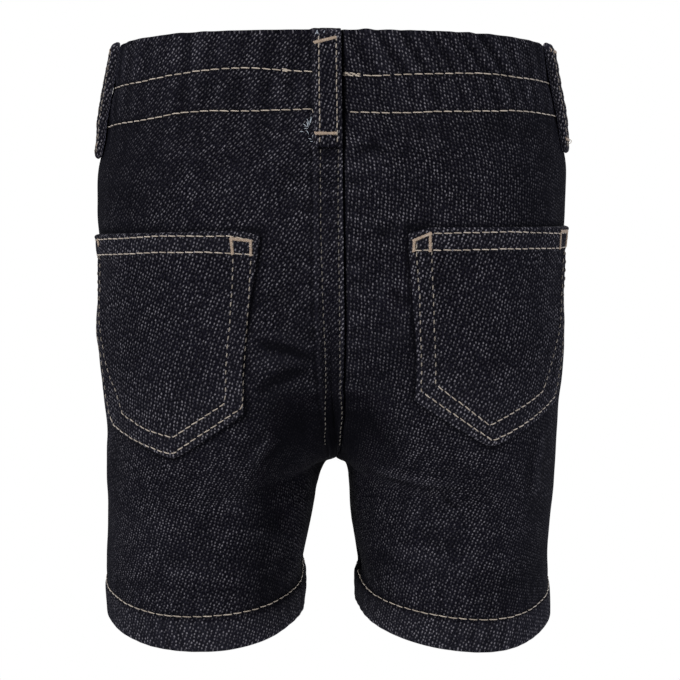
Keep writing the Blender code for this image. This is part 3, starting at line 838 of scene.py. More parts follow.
SIDE_PAINTED_SHADE_SPOTS = (  # painted shade at the sides, where the light falls off, on the back and the front alike
    (-78.0, -50.0, 18.0, 26.0, 0.5),
    (78.0, -48.0, 14.0, 20.0, 0.4),
    (-84.0, -165.0, 9.0, 50.0, 0.35),
    (80.0, -165.0, 9.0, 50.0, 0.4),
)
PAINTED_SHADE_SPOTS = {  # soft places of painted shade, seen square on: middle, half-width, half-height, how deep
    "columns": ("x", "z", "wide", "high", "shade"),
    "back": (
        (-10.0, -138.0, 12.0, 16.0, 0.75),
        (-22.0, -128.0, 10.0, 12.0, 0.5),
        (-13.0, -108.0, 14.0, 18.0, 0.35),
        (-22.0, -172.0, 10.0, 26.0, 0.55),
        (-27.0, -196.0, 9.0, 12.0, 0.3),
        (12.0, -134.0, 13.0, 17.0, 0.65),
        (12.0, -164.0, 8.0, 22.0, 0.3),
        (14.0, -190.0, 10.0, 9.0, 0.45),
        (70.0, -196.0, 12.0, 12.0, 0.4),
        (20.0, -104.0, 12.0, 9.0, 0.25),
        *SIDE_PAINTED_SHADE_SPOTS,
        (-20.0, -204.0, 12.0, 9.0, 0.4),
        (-58.0, -27.0, 34.0, 5.0, 0.25),
        (62.0, -28.0, 32.0, 5.5, 0.4),
        (-66.0, -37.0, 18.0, 7.0, 0.2),
        (12.0, -204.0, 11.0, 9.0, 0.5),
        (3.0, -142.0, 8.0, 14.0, 0.7),
        (1.0, -118.0, 6.0, 14.0, 0.4),
        (-62.0, -16.0, 30.0, 9.0, 0.2),
        (-1.6, -35.2, 4.5, 1.3, 0.8),
    ),
    "front": (
        (-12.0, -134.0, 14.0, 18.0, 0.7),
        (13.0, -130.0, 13.0, 16.0, 0.65),
        (-20.0, -176.0, 10.0, 24.0, 0.5),
        (18.0, -172.0, 10.0, 22.0, 0.5),
        *SIDE_PAINTED_SHADE_SPOTS,
    ),
}


def wear_and_painted_shade(level, distance, side, face, height, points):
    """Wear, painted shade and specks of a panel: lighter with wear at its folds, painted shade in
    its seams, creases and furrows, at the sides, the seat and down the legs' insides, where specks
    show least."""
    wear = 0.2 * ease((level - 3.0) / 0.1) + 0.12 * bell(level - 3.89, 0.1)
    widest = row_value(side, "widest", level)
    off = np.abs(distance - widest - SIDE_SEAM_FORWARD)
    # Painted shade in the groove of the side seam
    shade = 0.5 * bell(off, 0.8)
    drops = side_drop(level[:, 0])
    # Painted shade in crease and gather troughs; ridges lighter, part wear, part painted highlight
    trough = np.gradient(np.gradient(height, axis=1), axis=1)
    across = np.gradient(np.gradient(height, drops, axis=0), drops, axis=0)
    trough = trough + np.clip(1.1 * across, -0.12, 0.2) * (level > 1.06) * (level < 2.8)
    deepest = np.where(level < 1.06, 0.4, 0.75)
    wear = wear + np.clip(-1.6 * trough, 0.0, 0.18)
    shade = shade + np.clip(3.5 * trough, 0.0, deepest)
    inner = distance if face == "back" else row_value(side, "whole", level) - distance
    # Painted shade at the sides, where the light falls off, and down the inside of the legs
    beside = 1.0 - ease(np.abs(distance - widest) / 30.0)
    between = ease((level - 1.9) / 0.15) * (1.0 - ease((inner - 4.0) / 22.0))
    shade = shade + 0.15 * beside + 0.5 * between
    # Each row of stitches lies in a furrow, darkened with painted shade
    for row in (
        smooth(WAIST_ROWS, side + "_upper", distance),
        smooth(WAIST_ROWS, side + "_lower", distance),
        hem_row(side, distance),
    ):
        above = side_drop(row) - side_drop(level)
        shade = shade + 0.6 * bell(above, 0.8)
    # Painted shade in the soft dark places of the table
    for x, z, wide, high, deep in PAINTED_SHADE_SPOTS[face]:
        far = np.hypot((points[..., 0] - x) / wide, (points[..., 2] - z) / high)
        shade = shade + deep * (1.0 - ease(far / 1.6))
    specks = 0.25 + 0.75 * ease((np.abs(distance - widest) - 6.0) / 26.0)
    if face == "back":
        # Painted shadow along the pocket's edges
        shade = shade + 0.9 * pocket_edge_shadow(side, widest - distance, points[..., 2])
        if side == "right":
            # Painted shade in the groove beside the lap's edge
            groove = bell(distance - lap(level) - 0.5, 1.1)
            shade = shade + 0.8 * groove * (level < 2.0)
        else:
            folded = bell(distance + lap(level) - 0.5, 0.5) * (level < 2.0)
            specks = specks * (1.0 - 0.2 * (distance < 5.5)) + 1.6 * folded
            wear = wear + 0.2 * folded
    shade = np.minimum(shade, 1.0)
    # Specks fade where shade is painted
    specks = specks * (1.0 - 0.7 * shade)
    return np.stack(np.broadcast_arrays(wear, shade, specks), -1)


def panel(side, face):
    """A panel from fold to fold, with its casing and its hem."""
    distance = np.array([panel_columns(side, face, row) for row in PANEL_ROWS])
    level = np.broadcast_to(PANEL_ROWS[:, None], distance.shape)
    outer, normals = laid(side, face, level, distance)
    plain, _ = on_cloth(side, level, distance)
    lift = np.einsum("ijk,ijk->ij", outer - plain, normals)
    wall = wall_at(side, level, distance)
    under = np.minimum(lift, np.where(level < 1.05, 0.4, 1.0)) - wall
    inner = plain + under[..., None] * normals
    up = unit(outer[0] - outer[1])
    down = unit(outer[-1] - outer[-2])
    grain = np.stack(grain_of(side, face, level, distance), -1)
    turned_in = (wall > CLOTH + 0.3).astype(float)
    reverse = (np.zeros_like(level), 1.0 - turned_in)
    looks = wear_and_painted_shade(level, distance, side, face, lift, outer)
    name = face + "_" + side
    inside = grain + INSIDE_GRAIN
    piece = shell(name + "_cloth", outer, inner, up, down, grain, inside, reverse, looks)
    piece.data.materials.append(denim)
    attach(piece, "root")
    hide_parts(name, "waistband_" + name)
    return piece


for face in ("back", "front"):
    for side in ("left", "right"):
        panel(side, face)

# ---------------------------------------------------------------------------------------------
# The two back pockets: patches of the same denim, their tops turned over twice and their other
# edges folded under, laid on the back panels and sewn round with a double row.

POCKET_HEM = 8.5
POCKET_GAP = 0.45
POCKET_GAPE = 1.7
POCKET_EDGE = 1.1  # radius of the folded edge
POCKET_ROWS_IN = (1.8, 7.8)  # how far in from the edges its two rows are
POCKET_TOP_ROWS_DOWN = (2.2, 8.1)  # how far down the two rows across its top are


def at_height(side, from_side, z):
    """The levels and distances of places given by distance from the side line and height."""
    half = halves[side]
    far = half["widest"][:, None] - from_side.ravel()[None]
    at = np.arange(-RUN_ON, LONGEST)
    heights = np.array([np.interp(d, at, row[:, 2]) for d, row in zip(far, half["points"])])
    level = np.array([np.interp(-a, -h, ROWS) for a, h in zip(z.ravel(), heights.T)])
    level = level.reshape(np.shape(z))
    return level, row_value(side, "widest", level) - from_side


def pocket_shape(side, across, drop):
    """A pocket's half-width where this far down, and its whole drop where this far across."""
    _, _, _, by_side, by_centre, tip, _, _, _ = POCKETS[side]
    corner = (by_side * (1.0 - across) + by_centre * (1.0 + across)) / 2
    point = 1.0 - np.hypot(across, 0.05) + 0.05
    ends = np.where(across < 0, POCKET_CORNER_HALVES[0],
                    POCKET_CORNER_HALVES[1] - POCKET_DRAWN_IN[side])
    half = POCKET_TOP_HALF + (ends - POCKET_TOP_HALF) * np.minimum(drop / corner, 1.0)
    return half, corner + (tip - corner) * point


def pocket_flat(side, across, down):
    """Flat place on a pocket from its top's middle: across -1 is its edge by the side."""
    tip, lean = POCKETS[side][5:7]
    _, whole = pocket_shape(side, across, 0.0)
    drop = down * whole
    half, _ = pocket_shape(side, across, drop)
    return across * half + lean * drop / tip, drop


def pocket_place(side, from_side, z):
    """The inverse: how far across and down a pocket a place is."""
    middle, top, slope, _, _, tip, lean, _, _ = POCKETS[side]
    x = from_side - middle
    drop = top + slope * x - z
    across = x / POCKET_TOP_HALF
    for _ in range(4):
        half, whole = pocket_shape(side, across, drop)
        across = (x - lean * drop / tip) / half
    return across, drop / whole


def pocket_edge(side, across, down):
    """How far a place on a pocket is from its nearest edge."""
    x, drop = pocket_flat(side, across, down)
    half, whole = pocket_shape(side, across, drop)
    return np.minimum((1.0 - np.abs(across)) * half, 0.9 * (whole - drop))


def on_pocket(side, across, down, above=0.0):
    """Points and normals of the outside of a pocket, and points of its inside."""
    middle, top, slope, _, _, _, _, cut, _ = POCKETS[side]
    x, drop = pocket_flat(side, across, down)
    bow = 0.7 * (1.0 - across**2) * np.exp(-drop / 12.0)
    cut_off = cut * np.clip((across - 0.78) / 0.22, 0.0, 1.0) ** 1.5 * np.exp(-drop / 4.0)
    z = top - drop + slope * x + bow - cut_off
    level, distance = at_height(side, middle + x, z)
    plain, normals = on_cloth(side, level, distance)
    base = creases(plain, "back") + 0.3 * unevenness(plain, 46.0, 1.0)
    edge = pocket_edge(side, across, down)
    gape = POCKET_GAPE * ease(1.0 - drop / POCKET_HEM / 2) * (1.0 - across**6)
    wall = CLOTH + 0.6 * (1.0 - ease((drop - POCKET_HEM) / 0.8))
    wall = wall + 0.5 * (1.0 - ease((edge - 8.0) / 1.2)) * ease((drop - POCKET_HEM) / 2.0)
    for row in POCKET_ROWS_IN:
        wall = wall - 0.25 * bell(edge - row, 0.7) * ease((drop - 1.0) / 3.0)
    for row in POCKET_TOP_ROWS_DOWN:
        wall = wall - 0.25 * bell(drop - row, 0.6)
    wave = np.cos(2 * np.pi * (x + drop * 0.9) / 7.7 + np.sin(drop / 9.0))
    wall = wall + 0.13 * wave * bell(edge - 5.0, 3.5)
    wall = wall + 0.22 * unevenness(plain, 24.0, 7.0)
    near = np.clip(np.minimum(edge, drop) / POCKET_EDGE, 0.0, 1.0)
    round_ = np.sqrt(np.clip(1.0 - (1.0 - near) ** 2, 0.0, 1.0))
    lift = base + POCKET_GAP + gape
    return (
        plain + (lift + wall * round_ + above)[..., None] * normals,
        plain + (lift - 0.02)[..., None] * normals,
        normals,
    )


def pocket(side):
    """A patch pocket with rounded folded edges."""
    steps = np.array((0.0, 0.004, 0.012, 0.024, 0.042))
    across = np.concatenate((steps - 1.0, np.linspace(-0.93, 0.93, 64), 1.0 - steps[::-1]))
    close = np.array((0.0, 0.003, 0.008, 0.014, 0.022, 0.032))
    down = np.concatenate((close, np.linspace(0.045, 0.965, 66), 1.0 - close[::-1] * 0.9))
    down, across = np.meshgrid(down, across, indexing="ij")
    outer, inner, normals = on_pocket(side, across, down)
    x, drop = pocket_flat(side, across, down)
    lean = np.radians(POCKETS[side][8])
    # Each pocket has its own place on the cloth, far from the panels', so its specks are its own
    over, apart = (x, 300.0) if side == "left" else (-x, 500.0)
    grain = np.stack((
        over * np.cos(lean) + drop * np.sin(lean) + apart,
        over * np.sin(lean) - drop * np.cos(lean),
    ), -1)
    edge = pocket_edge(side, across, down)
    wear = 0.12 * bell(edge, 1.2) + 0.12 * (1.0 - ease((drop - 8.6) / 0.6))
    wear = wear + 0.05 * (1.0 - ease((edge - 8.0) / 1.5))
    middle = POCKETS[side][0]
    # Fewer specks and painted shade towards the side line, and painted shade along the foot of the
    # turned top and by the inner row
    specks = 0.5 + 0.5 * ease((middle + x - 14.0) / 20.0)
    specks = specks * (1.0 + 0.9 * bell(np.minimum(edge, drop) - 0.6, 0.9))
    row = bell(drop - 8.6, 0.5)
    shade = 0.3 * (1.0 - ease((middle + x) / 34.0)) + 0.35 * row
    shade = shade + 0.25 * bell(edge - 7.8, 0.8) * (drop > 9.5)
    wear = wear + 0.1 * ease((drop - 45.0) / 20.0)
    looks = np.stack((wear, shade, specks), -1)
    flat = np.zeros_like(normals[0])
    reverse = (np.zeros_like(across), np.ones_like(across))
    name = "pocket_" + side
    piece = shell(name + "_cloth", outer, inner, flat, flat, grain, grain, reverse, looks)
    piece.data.materials.append(denim)
    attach(piece, "root")
    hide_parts(name)
    return piece


pockets = {side: pocket(side) for side in ("left", "right")}

# ---------------------------------------------------------------------------------------------
# The three belt loops: strips of denim folded to 10 mm, edge-stitched, and tacked down at both
# ends, at centre back and at the two sides.

LOOP_WIDTH = 10.0
LOOPS = {  # where each starts, its length, how far back of the side line its top and bottom are,
    # and how much it tips, its front edge standing off the most
    "centre": (0.3, 40.6, 0.0, 0.0, 0.0),
    "left": (0.1, 41.8, 6.0, 10.0, 0.3),
    "right": (0.6, 39.0, 8.0, 9.0, 0.3),
}
LOOP_RISES = {  # how far each stands off the cloth, down its length
    "columns": ("share", "centre", "left", "right"),
    "rows": (
        (0.0, 0.9, 0.5, 0.6),
        (0.12, 1.3, 0.6, 0.7),
        (0.3, 2.0, 1.1, 0.8),
        (0.45, 2.5, 1.3, 1.0),
        (0.6, 2.6, 1.1, 1.2),
        (0.72, 2.2, 0.9, 1.1),
        (0.82, 1.6, 0.4, 0.8),
        (0.92, 1.0, 0.3, 0.4),
        (1.0, 0.7, 0.2, 0.3),
    ),
}
LOOP_WALL = {"centre": 1.7, "left": 3.0, "right": 2.9}
LOOP_ROW_IN = 1.9  # how far in from its edge each furrow of stitches is


def on_loop(name, share, aside, above=0.0):
    """Points and normals of a loop's outside and inside: aside is from its middle line."""
    side = "right" if name == "right" else "left"
    top, length, back_top, back_bottom, tip = LOOPS[name]
    level = np.interp(top + length * share, SIDE_DROPS, range(5))
    middle = 0.0 if name == "centre" else row_value(side, "widest", level)
    middle = middle - back_top - (back_bottom - back_top) * share
    forward = -aside if side == "left" else aside
    points, normals = on_cloth(side, level, middle + forward)
    rise = smooth(LOOP_RISES, name, share) * (1.0 + tip * forward / LOOP_WIDTH * 2)
    tacked = np.minimum(share, 1.0 - share) * length
    thinner = 0.0 if name == "centre" else 0.7 * ease((share - 0.5) / 0.5)
    wall = LOOP_WALL[name] - thinner - 0.5 * bell(tacked, 1.5)
    off = LOOP_WIDTH / 2 - np.abs(aside)
    bulge = np.sqrt(np.clip(1.0 - (1.0 - np.clip(off / 0.8, 0.0, 1.0)) ** 2, 0.0, 1.0))
    rows = 0.2 * bell(off - LOOP_ROW_IN, 0.6)
    ripple = 0.12 * np.cos(2 * np.pi * share * length / 5.2 + aside) + 0.12 * np.sin(share * 9.0)
    height = rise + wall * (0.35 + 0.65 * bulge) - rows + ripple * bulge + above
    return (
        points + height[..., None] * normals,
        points + rise[..., None] * normals,
        normals,
    )


def belt_loop(name):
    """A belt loop: a folded strip that stands off the cloth between its tacks."""
    edge = np.array((0.0, 0.12, 0.3, 0.55, 0.8))
    half = LOOP_WIDTH / 2
    middle = np.linspace(1.2 - half, half - 1.2, 15)
    aside = np.concatenate((edge - half, middle, half - edge[::-1]))
    share, aside = np.meshgrid(np.linspace(0.012, 0.988, 90), aside, indexing="ij")
    outer, inner, normals = on_loop(name, share, aside)
    up = unit(outer[0] - outer[1])
    down = unit(outer[-1] - outer[-2])
    length = LOOPS[name][1]
    steps = np.linalg.norm(np.diff(outer, axis=1, prepend=outer[:, :1]), axis=-1)
    run = np.cumsum(steps, axis=1)
    grain = np.stack((run + 700.0, -share * length), -1)
    off = LOOP_WIDTH / 2 - np.abs(aside)
    wear = 0.2 * bell(off, 1.0) + 0.4 * bell(share * length, 2.0)
    specks = 1.15 + 0.8 * bell(off - 0.5, 0.7)
    # The furrows of its rows of stitches get painted shade
    looks = np.stack((wear, 0.25 * bell(off - LOOP_ROW_IN, 0.5), specks), -1)
    reverse = (np.zeros_like(share), np.ones_like(share))
    label = "belt_loop_" + name
    turned = grain + np.stack((np.sign(aside) * LOOP_WALL[name], 0.0 * aside), -1)
    piece = shell(label + "_cloth", outer, inner, up, down, grain, turned, reverse, looks)
    piece.data.materials.append(denim)
    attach(piece, "root")
    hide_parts(label)
    return piece


belt_loops = {name: belt_loop(name) for name in LOOPS}

# ---------------------------------------------------------------------------------------------
# The topstitching: a thick tan thread that lies on the cloth in stitches 3.8 mm apart and goes
# down into it at each end. Where a row starts or stops it is sewn over again, and the corners of
# the pockets and the ends of the loops have bar tacks of close cross stitches.

STITCH = 3.8
STITCH_SHOWS = 3.72
THREAD = 0.46  # width of the thread as it lies flattened on the cloth
THREAD_TAN = "6D6154"
THREAD_PALE = "BFB3A5"
THREAD_DARK = "352C23"
THREAD_WARM = "80654D"  # where it lies thick, in the tacks
THREAD_SHADED = "35332F"  # painted shade, where it lies deep in the cloth
TACK_DULL = -0.5
TACK_CLOSE = 0.42
GROOVES_APART = 0.5  # along the thread: its three plies turn once in 1.5 mm
SEWN_STEP = 0.25  # between the places that a row is sewn along
CORNER_ROUND = 1.2
STATIONS = 9
AROUND = 8
rng = np.random.default_rng(7)


def tan_thread(name):
    """Cotton-wrapped polyester topstitching thread, twisted from three plies.

    Soft, with a faint gloss, and painted shade in the grooves between its plies."""
    made = bpy.data.materials.new(name)
    made.use_nodes = True
    tree = made.node_tree
    shader = tree.nodes["Principled BSDF"]
    node = partial(add_node, tree)
    grain = node("Attribute", {"attribute_name": "grain"})["Vector"]
    dull = node("Attribute", {"attribute_name": "dull"})["Fac"]
    along, turn, number = node("SeparateXYZ", (), (grain,))
    groove = node("Math", "MULTIPLY_ADD", (along, 2 * np.pi / GROOVES_APART, turn))[0]
    for operation, by in (("MULTIPLY", 0.5), ("SINE", 0.0), ("ABSOLUTE", 0.0), ("POWER", 0.6)):
        groove = node("Math", operation, (groove, by))[0]
    chance = node("TexWhiteNoise", {"noise_dimensions": "1D"}, {1: number})["Value"]
    fuzz = node("TexNoise", (), {"Vector": grain, "Scale": 3.0, "Detail": 3.0})[0]
    tone = node("Math", "MULTIPLY", (fuzz, 0.6))[0]
    tone = node("Math", "MULTIPLY_ADD", (chance, 0.5, tone))[0]
    in_groove = node("Math", "MULTIPLY_ADD", (groove, -0.75, 0.75))[0]
    warm = node("Math", "MULTIPLY", (dull, -1.0))[0]
    colour = linear(THREAD_TAN)
    for share, over in (
        (tone, THREAD_PALE), (in_groove, THREAD_DARK), (warm, THREAD_WARM), (dull, THREAD_SHADED),
    ):
        colour = node("Mix", COLOURS, {0: share, 6: colour, 7: linear(over)})[2]
    bump = node("Bump", (), {"Height": groove, "Strength": 0.5, "Distance": 0.1 * MM})[0]
    tree.links.new(colour, shader.inputs["Base Color"])
    tree.links.new(bump, shader.inputs["Normal"])
    shader.inputs["Roughness"].default_value = 0.62
    shader.inputs["Sheen Weight"].default_value = 0.2
    shader.inputs["Sheen Roughness"].default_value = 0.4
    return made


thread = tan_thread("tan_topstitch_thread")


def row_stitches(points, normals, pitch=STITCH, shows=STITCH_SHOWS, start=0.4):
    """Stitches along a line of points: each one's middle line and its normals."""
    run = distances(points)
    sewn = []
    at = start
    while at + shows * 0.6 < run[-1]:
        length = min(shows * rng.uniform(0.93, 1.07), run[-1] - at)
        places = at + length * np.linspace(0.0, 1.0, STATIONS)
        middle = np.column_stack([np.interp(places, run, part) for part in points.T])
        normal = np.column_stack([np.interp(places, run, part) for part in normals.T])
        way = middle[-1] - middle[0]
        aside = np.cross(way, normal[STATIONS // 2])
        aside /= np.linalg.norm(aside)
        slant = np.linspace(-0.09, 0.09, STATIONS) + rng.uniform(-0.07, 0.07)
        sewn.append((middle + slant[:, None] * aside, normal))
        at += pitch * rng.uniform(0.97, 1.03)
    return sewn


def tack_stitches(start, end, normal, width):
    """A bar tack from start to end: close stitches across it, over a few along it."""
    way = end - start
    length = np.linalg.norm(way)
    way = way / length
    aside = np.cross(way, normal)
    aside /= np.linalg.norm(aside)
    normals = np.repeat(normal[None], STATIONS, 0)
    share = np.linspace(0.0, 1.0, STATIONS)[:, None]
    sewn = []
    for k in range(int(length / TACK_CLOSE) + 1):
        middle = start + way * min(k * TACK_CLOSE, length)
        lean = way * rng.uniform(0.1, 0.3)
        reach = aside * width / 2 * rng.uniform(0.85, 1.15) + lean
        sewn.append((middle - reach + 2 * reach * share + normal * 0.3, normals, TACK_DULL))
    for shift in (-0.22, 0.22):
        line = start + way * (length * share) + aside * shift * width
        sewn.append((line, normals, TACK_DULL))
    return sewn


def sewing(name, sewn, width=THREAD, dull=0.0, material=thread):
    """One piece of many stitches, each a thread that dips into the cloth at both ends.

    dull is how much painted shade darkens them where they lie deep, from 0 to 1, and below 0 they
    are warmer instead."""
    middle = np.array([part[0] for part in sewn])
    normal = np.array([part[1] for part in sewn])
    normal = unit(normal)
    share = np.linspace(0.0, 1.0, STATIONS)
    arch = np.sin(np.pi * share) ** 0.45
    lift = (width * 0.36 * arch - 0.22 * (1.0 - arch))[None, :, None]
    middle = middle + lift * normal
    way = unit(np.gradient(middle, axis=1))
    aside = unit(np.cross(way, normal))
    upward = np.cross(aside, way)
    turn = np.linspace(0.0, 2 * np.pi, AROUND, endpoint=False)
    fat = (0.35 + 0.65 * np.sin(np.pi * share) ** 0.3)[None, :, None, None] * width / 2
    ring = np.cos(turn)[:, None] * aside[:, :, None] + 0.74 * np.sin(turn)[:, None] * (
        upward[:, :, None]
    )
    points = middle[:, :, None] + fat * ring
    count = len(sewn)
    index = np.arange(count * STATIONS * AROUND).reshape(count, STATIONS, AROUND)
    beside = np.roll(index, -1, axis=2)
    quads = np.stack((index[:, :-1], index[:, 1:], beside[:, 1:], beside[:, :-1]), -1)
    faces = quads.reshape(-1, 4).tolist()
    faces += index[:, 0].tolist() + index[:, -1, ::-1].tolist()
    flat = points.reshape(-1, 3) * MM
    data = bpy.data.meshes.new(name)
    data.from_pydata(flat.tolist(), [], faces)
    along = np.cumsum(np.linalg.norm(np.diff(middle, axis=1, prepend=middle[:, :1]), axis=-1), 1)
    marks = np.zeros((count, STATIONS, AROUND, 3))
    marks[..., 0] = along[:, :, None]
    marks[..., 1] = turn
    marks[..., 2] = np.arange(count)[:, None, None] + 0.5
    layer = data.attributes.new("grain", "FLOAT_VECTOR", "POINT")
    layer.data.foreach_set("vector", marks.ravel())
    shade_share = np.array([part[2] if len(part) > 2 else dull for part in sewn])
    layer = data.attributes.new("dull", "FLOAT", "POINT")
    layer.data.foreach_set("value", np.repeat(shade_share, STATIONS * AROUND))
    data.shade_smooth()
    piece = bpy.data.objects.new(name, data)
    bpy.context.scene.collection.objects.link(piece)
    piece.data.materials.append(material)
    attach(piece, "root")
    return piece


sewn = []
for side in ("left", "right"):
    front = float(row_value(side, "whole", 0.5)) - 0.6
    seam = float(row_value(side, "widest", 0.5)) + SIDE_SEAM_FORWARD
    for row, start in (("upper", 5.2), ("lower", 5.8 if side == "left" else 7.4)):
        label = side + "_" + row
        for face, first, last in (("back", start, seam - 0.6), ("front", seam + 0.6, front)):
            distance = np.arange(first, last, SEWN_STEP)
            level = smooth(WAIST_ROWS, label, distance)
            sewn += row_stitches(*laid(side, face, level, distance), start=0.2)
            if face == "back" and row == "upper":
                spans = ((5.0, 13.5), (5.4, 12.0)) if side == "right" else ((14.0, 18.2),) * 2
                for k, (a, b) in enumerate(spans):
                    again = np.arange(a, b, SEWN_STEP)
                    level = smooth(WAIST_ROWS, label, again) + 0.013 * (1 - 2 * k)
                    line = laid(side, face, level, again)
                    sewn += row_stitches(*line, pitch=2.6, shows=2.4)
sewing("waist_topstitching", sewn)

SEAT_ROWS = {  # how far each row of the felled seam is from the middle, by height
    "columns": ("down", "left", "right"),
    "rows": (
        (33.0, -3.7, 2.9),
        (53.0, -3.6, 2.7),
        (64.0, -3.5, 2.8),
        (82.0, -3.0, 3.1),
        (95.0, -2.7, 3.4),
        (115.0, -2.2, 3.8),
        (132.0, -2.25, 4.0),
        (147.0, -2.3, 4.1),
    ),
}
sewn = []
edge_heights = halves["left"]["points"][:, RUN_ON, 2]
for row in ("left", "right"):
    down = np.linspace(34.5, 145.5, 700)
    level = np.interp(down, -edge_heights, ROWS)
    beside = np.arange(-6.0, 9.0, SEWN_STEP)
    across, _ = on_cloth("left", level[:, None], beside[None])
    wanted = smooth(SEAT_ROWS, row, down)
    distance = np.array([np.interp(-x, -line[:, 0], beside) for x, line in zip(wanted, across)])
    line = laid("left", "back", level, distance)
    sewn += row_stitches(*line, pitch=2.6, shows=1.5)
sewing("seat_seam_topstitching", sewn, 0.36, 0.82)

for side in HEM_ROWS:
    sewn = []
    row = HEM_ROWS[side][0]
    seam = float(row_value(side, "widest", row)) + SIDE_SEAM_FORWARD
    whole = float(row_value(side, "whole", row))
    for face, first, last in (("back", 0.6, seam - 0.6), ("front", seam + 0.6, whole - 0.6)):
        distance = np.arange(first, last, SEWN_STEP)
        sewn += row_stitches(*laid(side, face, hem_row(side, distance), distance))
    sewing(side + "_hem_topstitching", sewn, 0.42, 0.1)

POCKET_SEWING = {  # each pocket's rows and tacks, as distances from the side line and heights
    "left": {
        "outer": ((97.3, -68.0), (97.8, -73.5), (99.1, -89.8), (99.6, -107.2), (98.9, -122.0),
                  (97.9, -127.5), (71.0, -144.8), (68.1, -144.8), (53.0, -141.4), (38.7, -137.2),
                  (35.8, -132.5), (33.6, -124.1), (29.5, -112.0), (25.0, -98.0), (21.5, -86.0),
                  (19.6, -74.0)),
        "inner": ((91.0, -68.0), (91.3, -72.5), (92.6, -85.0), (93.3, -98.3), (93.1, -110.1),
                  (92.8, -121.9), (91.9, -126.0), (71.8, -138.9), (59.0, -136.6),
                  (47.3, -132.4), (43.6, -124.5), (38.2, -119.6), (34.5, -113.7),
                  (31.2, -102.0), (28.0, -92.0), (26.5, -84.0), (25.6, -74.0)),
        "upper": ((17.5, -71.0), (47.3, -68.7), (63.5, -67.3), (89.2, -66.4), (99.6, -67.3)),
        "lower": ((17.5, -76.6), (64.4, -72.9), (81.2, -72.2), (99.6, -72.5)),
        "tacks": (((90.2, -67.0), (91.3, -72.6)), ((97.1, -67.2), (97.7, -73.0)),
                  ((90.2, -67.2), (97.1, -67.4)), ((28.5, -70.2), (30.0, -72.2))),
    },
    "right": {
        "outer": ((94.9, -68.0), (95.2, -71.4), (96.1, -87.7), (97.3, -99.4), (98.0, -110.7),
                  (98.3, -121.4), (71.7, -140.0), (34.5, -126.9), (33.6, -120.8),
                  (30.0, -110.0), (25.6, -98.0), (20.0, -84.0), (16.8, -70.0)),
        "inner": ((89.6, -68.0), (89.9, -71.4), (91.0, -85.0), (92.4, -99.4), (92.9, -108.1),
                  (93.2, -119.0), (73.2, -134.3), (46.3, -124.2), (43.1, -119.8),
                  (38.2, -111.5), (31.1, -100.1), (26.5, -88.0), (23.5, -76.0), (22.5, -70.0)),
        "upper": ((95.6, -67.0), (89.6, -65.4), (62.2, -65.7), (33.8, -67.5), (15.0, -68.0)),
        "lower": ((96.6, -71.0), (81.4, -71.4), (62.4, -71.6), (15.4, -73.6)),
        "tacks": (((90.0, -65.4), (90.4, -71.6)), ((95.6, -66.8), (96.2, -71.4)),
                  ((89.6, -65.2), (96.2, -67.2)), ((24.5, -67.2), (22.0, -73.2)),
                  ((33.0, -67.0), (31.0, -73.2)), ((24.5, -67.1), (33.0, -66.8))),
    },
}


def along_corners(corners):
    """Places along a line of corners, the corners a little rounded."""
    corners = np.array(corners)
    run = distances(corners)
    at = np.arange(0.0, run[-1], SEWN_STEP)
    line = np.column_stack([np.interp(at, run, part) for part in corners.T])
    reach = int(CORNER_ROUND / SEWN_STEP)
    padded = np.pad(line, ((reach, reach), (0, 0)), mode="reflect", reflect_type="odd")
    weights = np.full(2 * reach + 1, 1.0 / (2 * reach + 1))
    return np.column_stack([np.convolve(part, weights, "valid") for part in padded.T])


def on_pocket_at(side, line):
    """Points and normals on a pocket along places given from the side line and by height."""
    points, _, normals = on_pocket(side, *pocket_place(side, line[:, 0], line[:, 1]))
    return points, normals


for side, rows in POCKET_SEWING.items():
    sewn = []
    for row in ("outer", "inner"):
        places = along_corners(rows[row])
        points, normals = on_pocket_at(side, places)
        # Down the sides the stitches sink, only their middles show, and more painted shade darkens
        # them;
        # on the slants they lie up
        for stitch in row_stitches(points, normals, pitch=3.1, shows=2.0, start=0.3):
            way = stitch[0][-1] - stitch[0][0]
            slanting = abs(way[0]) > 0.35 * np.linalg.norm(way)
            middle = stitch[0].mean(axis=0)
            longer = 1.36 if slanting else 0.9
            dull = 0.12 if slanting else 0.5
            sewn.append((middle + (stitch[0] - middle) * longer, stitch[1], dull))
    for row in ("upper", "lower"):
        sewn += row_stitches(*on_pocket_at(side, along_corners(rows[row])), 3.6, 3.4, 0.1)
    for tack in rows["tacks"]:
        points, normals = on_pocket_at(side, np.array(tack))
        sewn += tack_stitches(points[0], points[1], normals[0], 1.15)
    name = side + "_pocket_topstitching"
    sewing(name, sewn, 0.44)

for name in LOOPS:
    sewn = []
    for aside in (-3.15, 3.15):
        share = np.linspace(0.05, 0.965, 300)
        line = on_loop(name, share, np.full(300, aside))
        sewn += row_stitches(line[0], line[2], pitch=2.65, shows=2.2)
    ends_at = (0.122, 0.075) if name == "centre" else (0.06, 0.06)
    for start_at, end_at in (ends_at, (0.90, 0.90)):
        spots = np.array((start_at, end_at))
        ends, _, normals = on_loop(name, spots, np.array((-4.8, 3.1)))
        sewn += tack_stitches(ends[0], ends[1], normals[0], 1.3)
    sewing("loop_" + name + "_topstitching", sewn, 0.44, 0.3)

# ---------------------------------------------------------------------------------------------
# Loose ends: weft threads that have worked out of the centre loop's cut top and out of the casing
# beside it, and the tail of the casing's row of stitches.

WEFT_END = "A9B2BC"


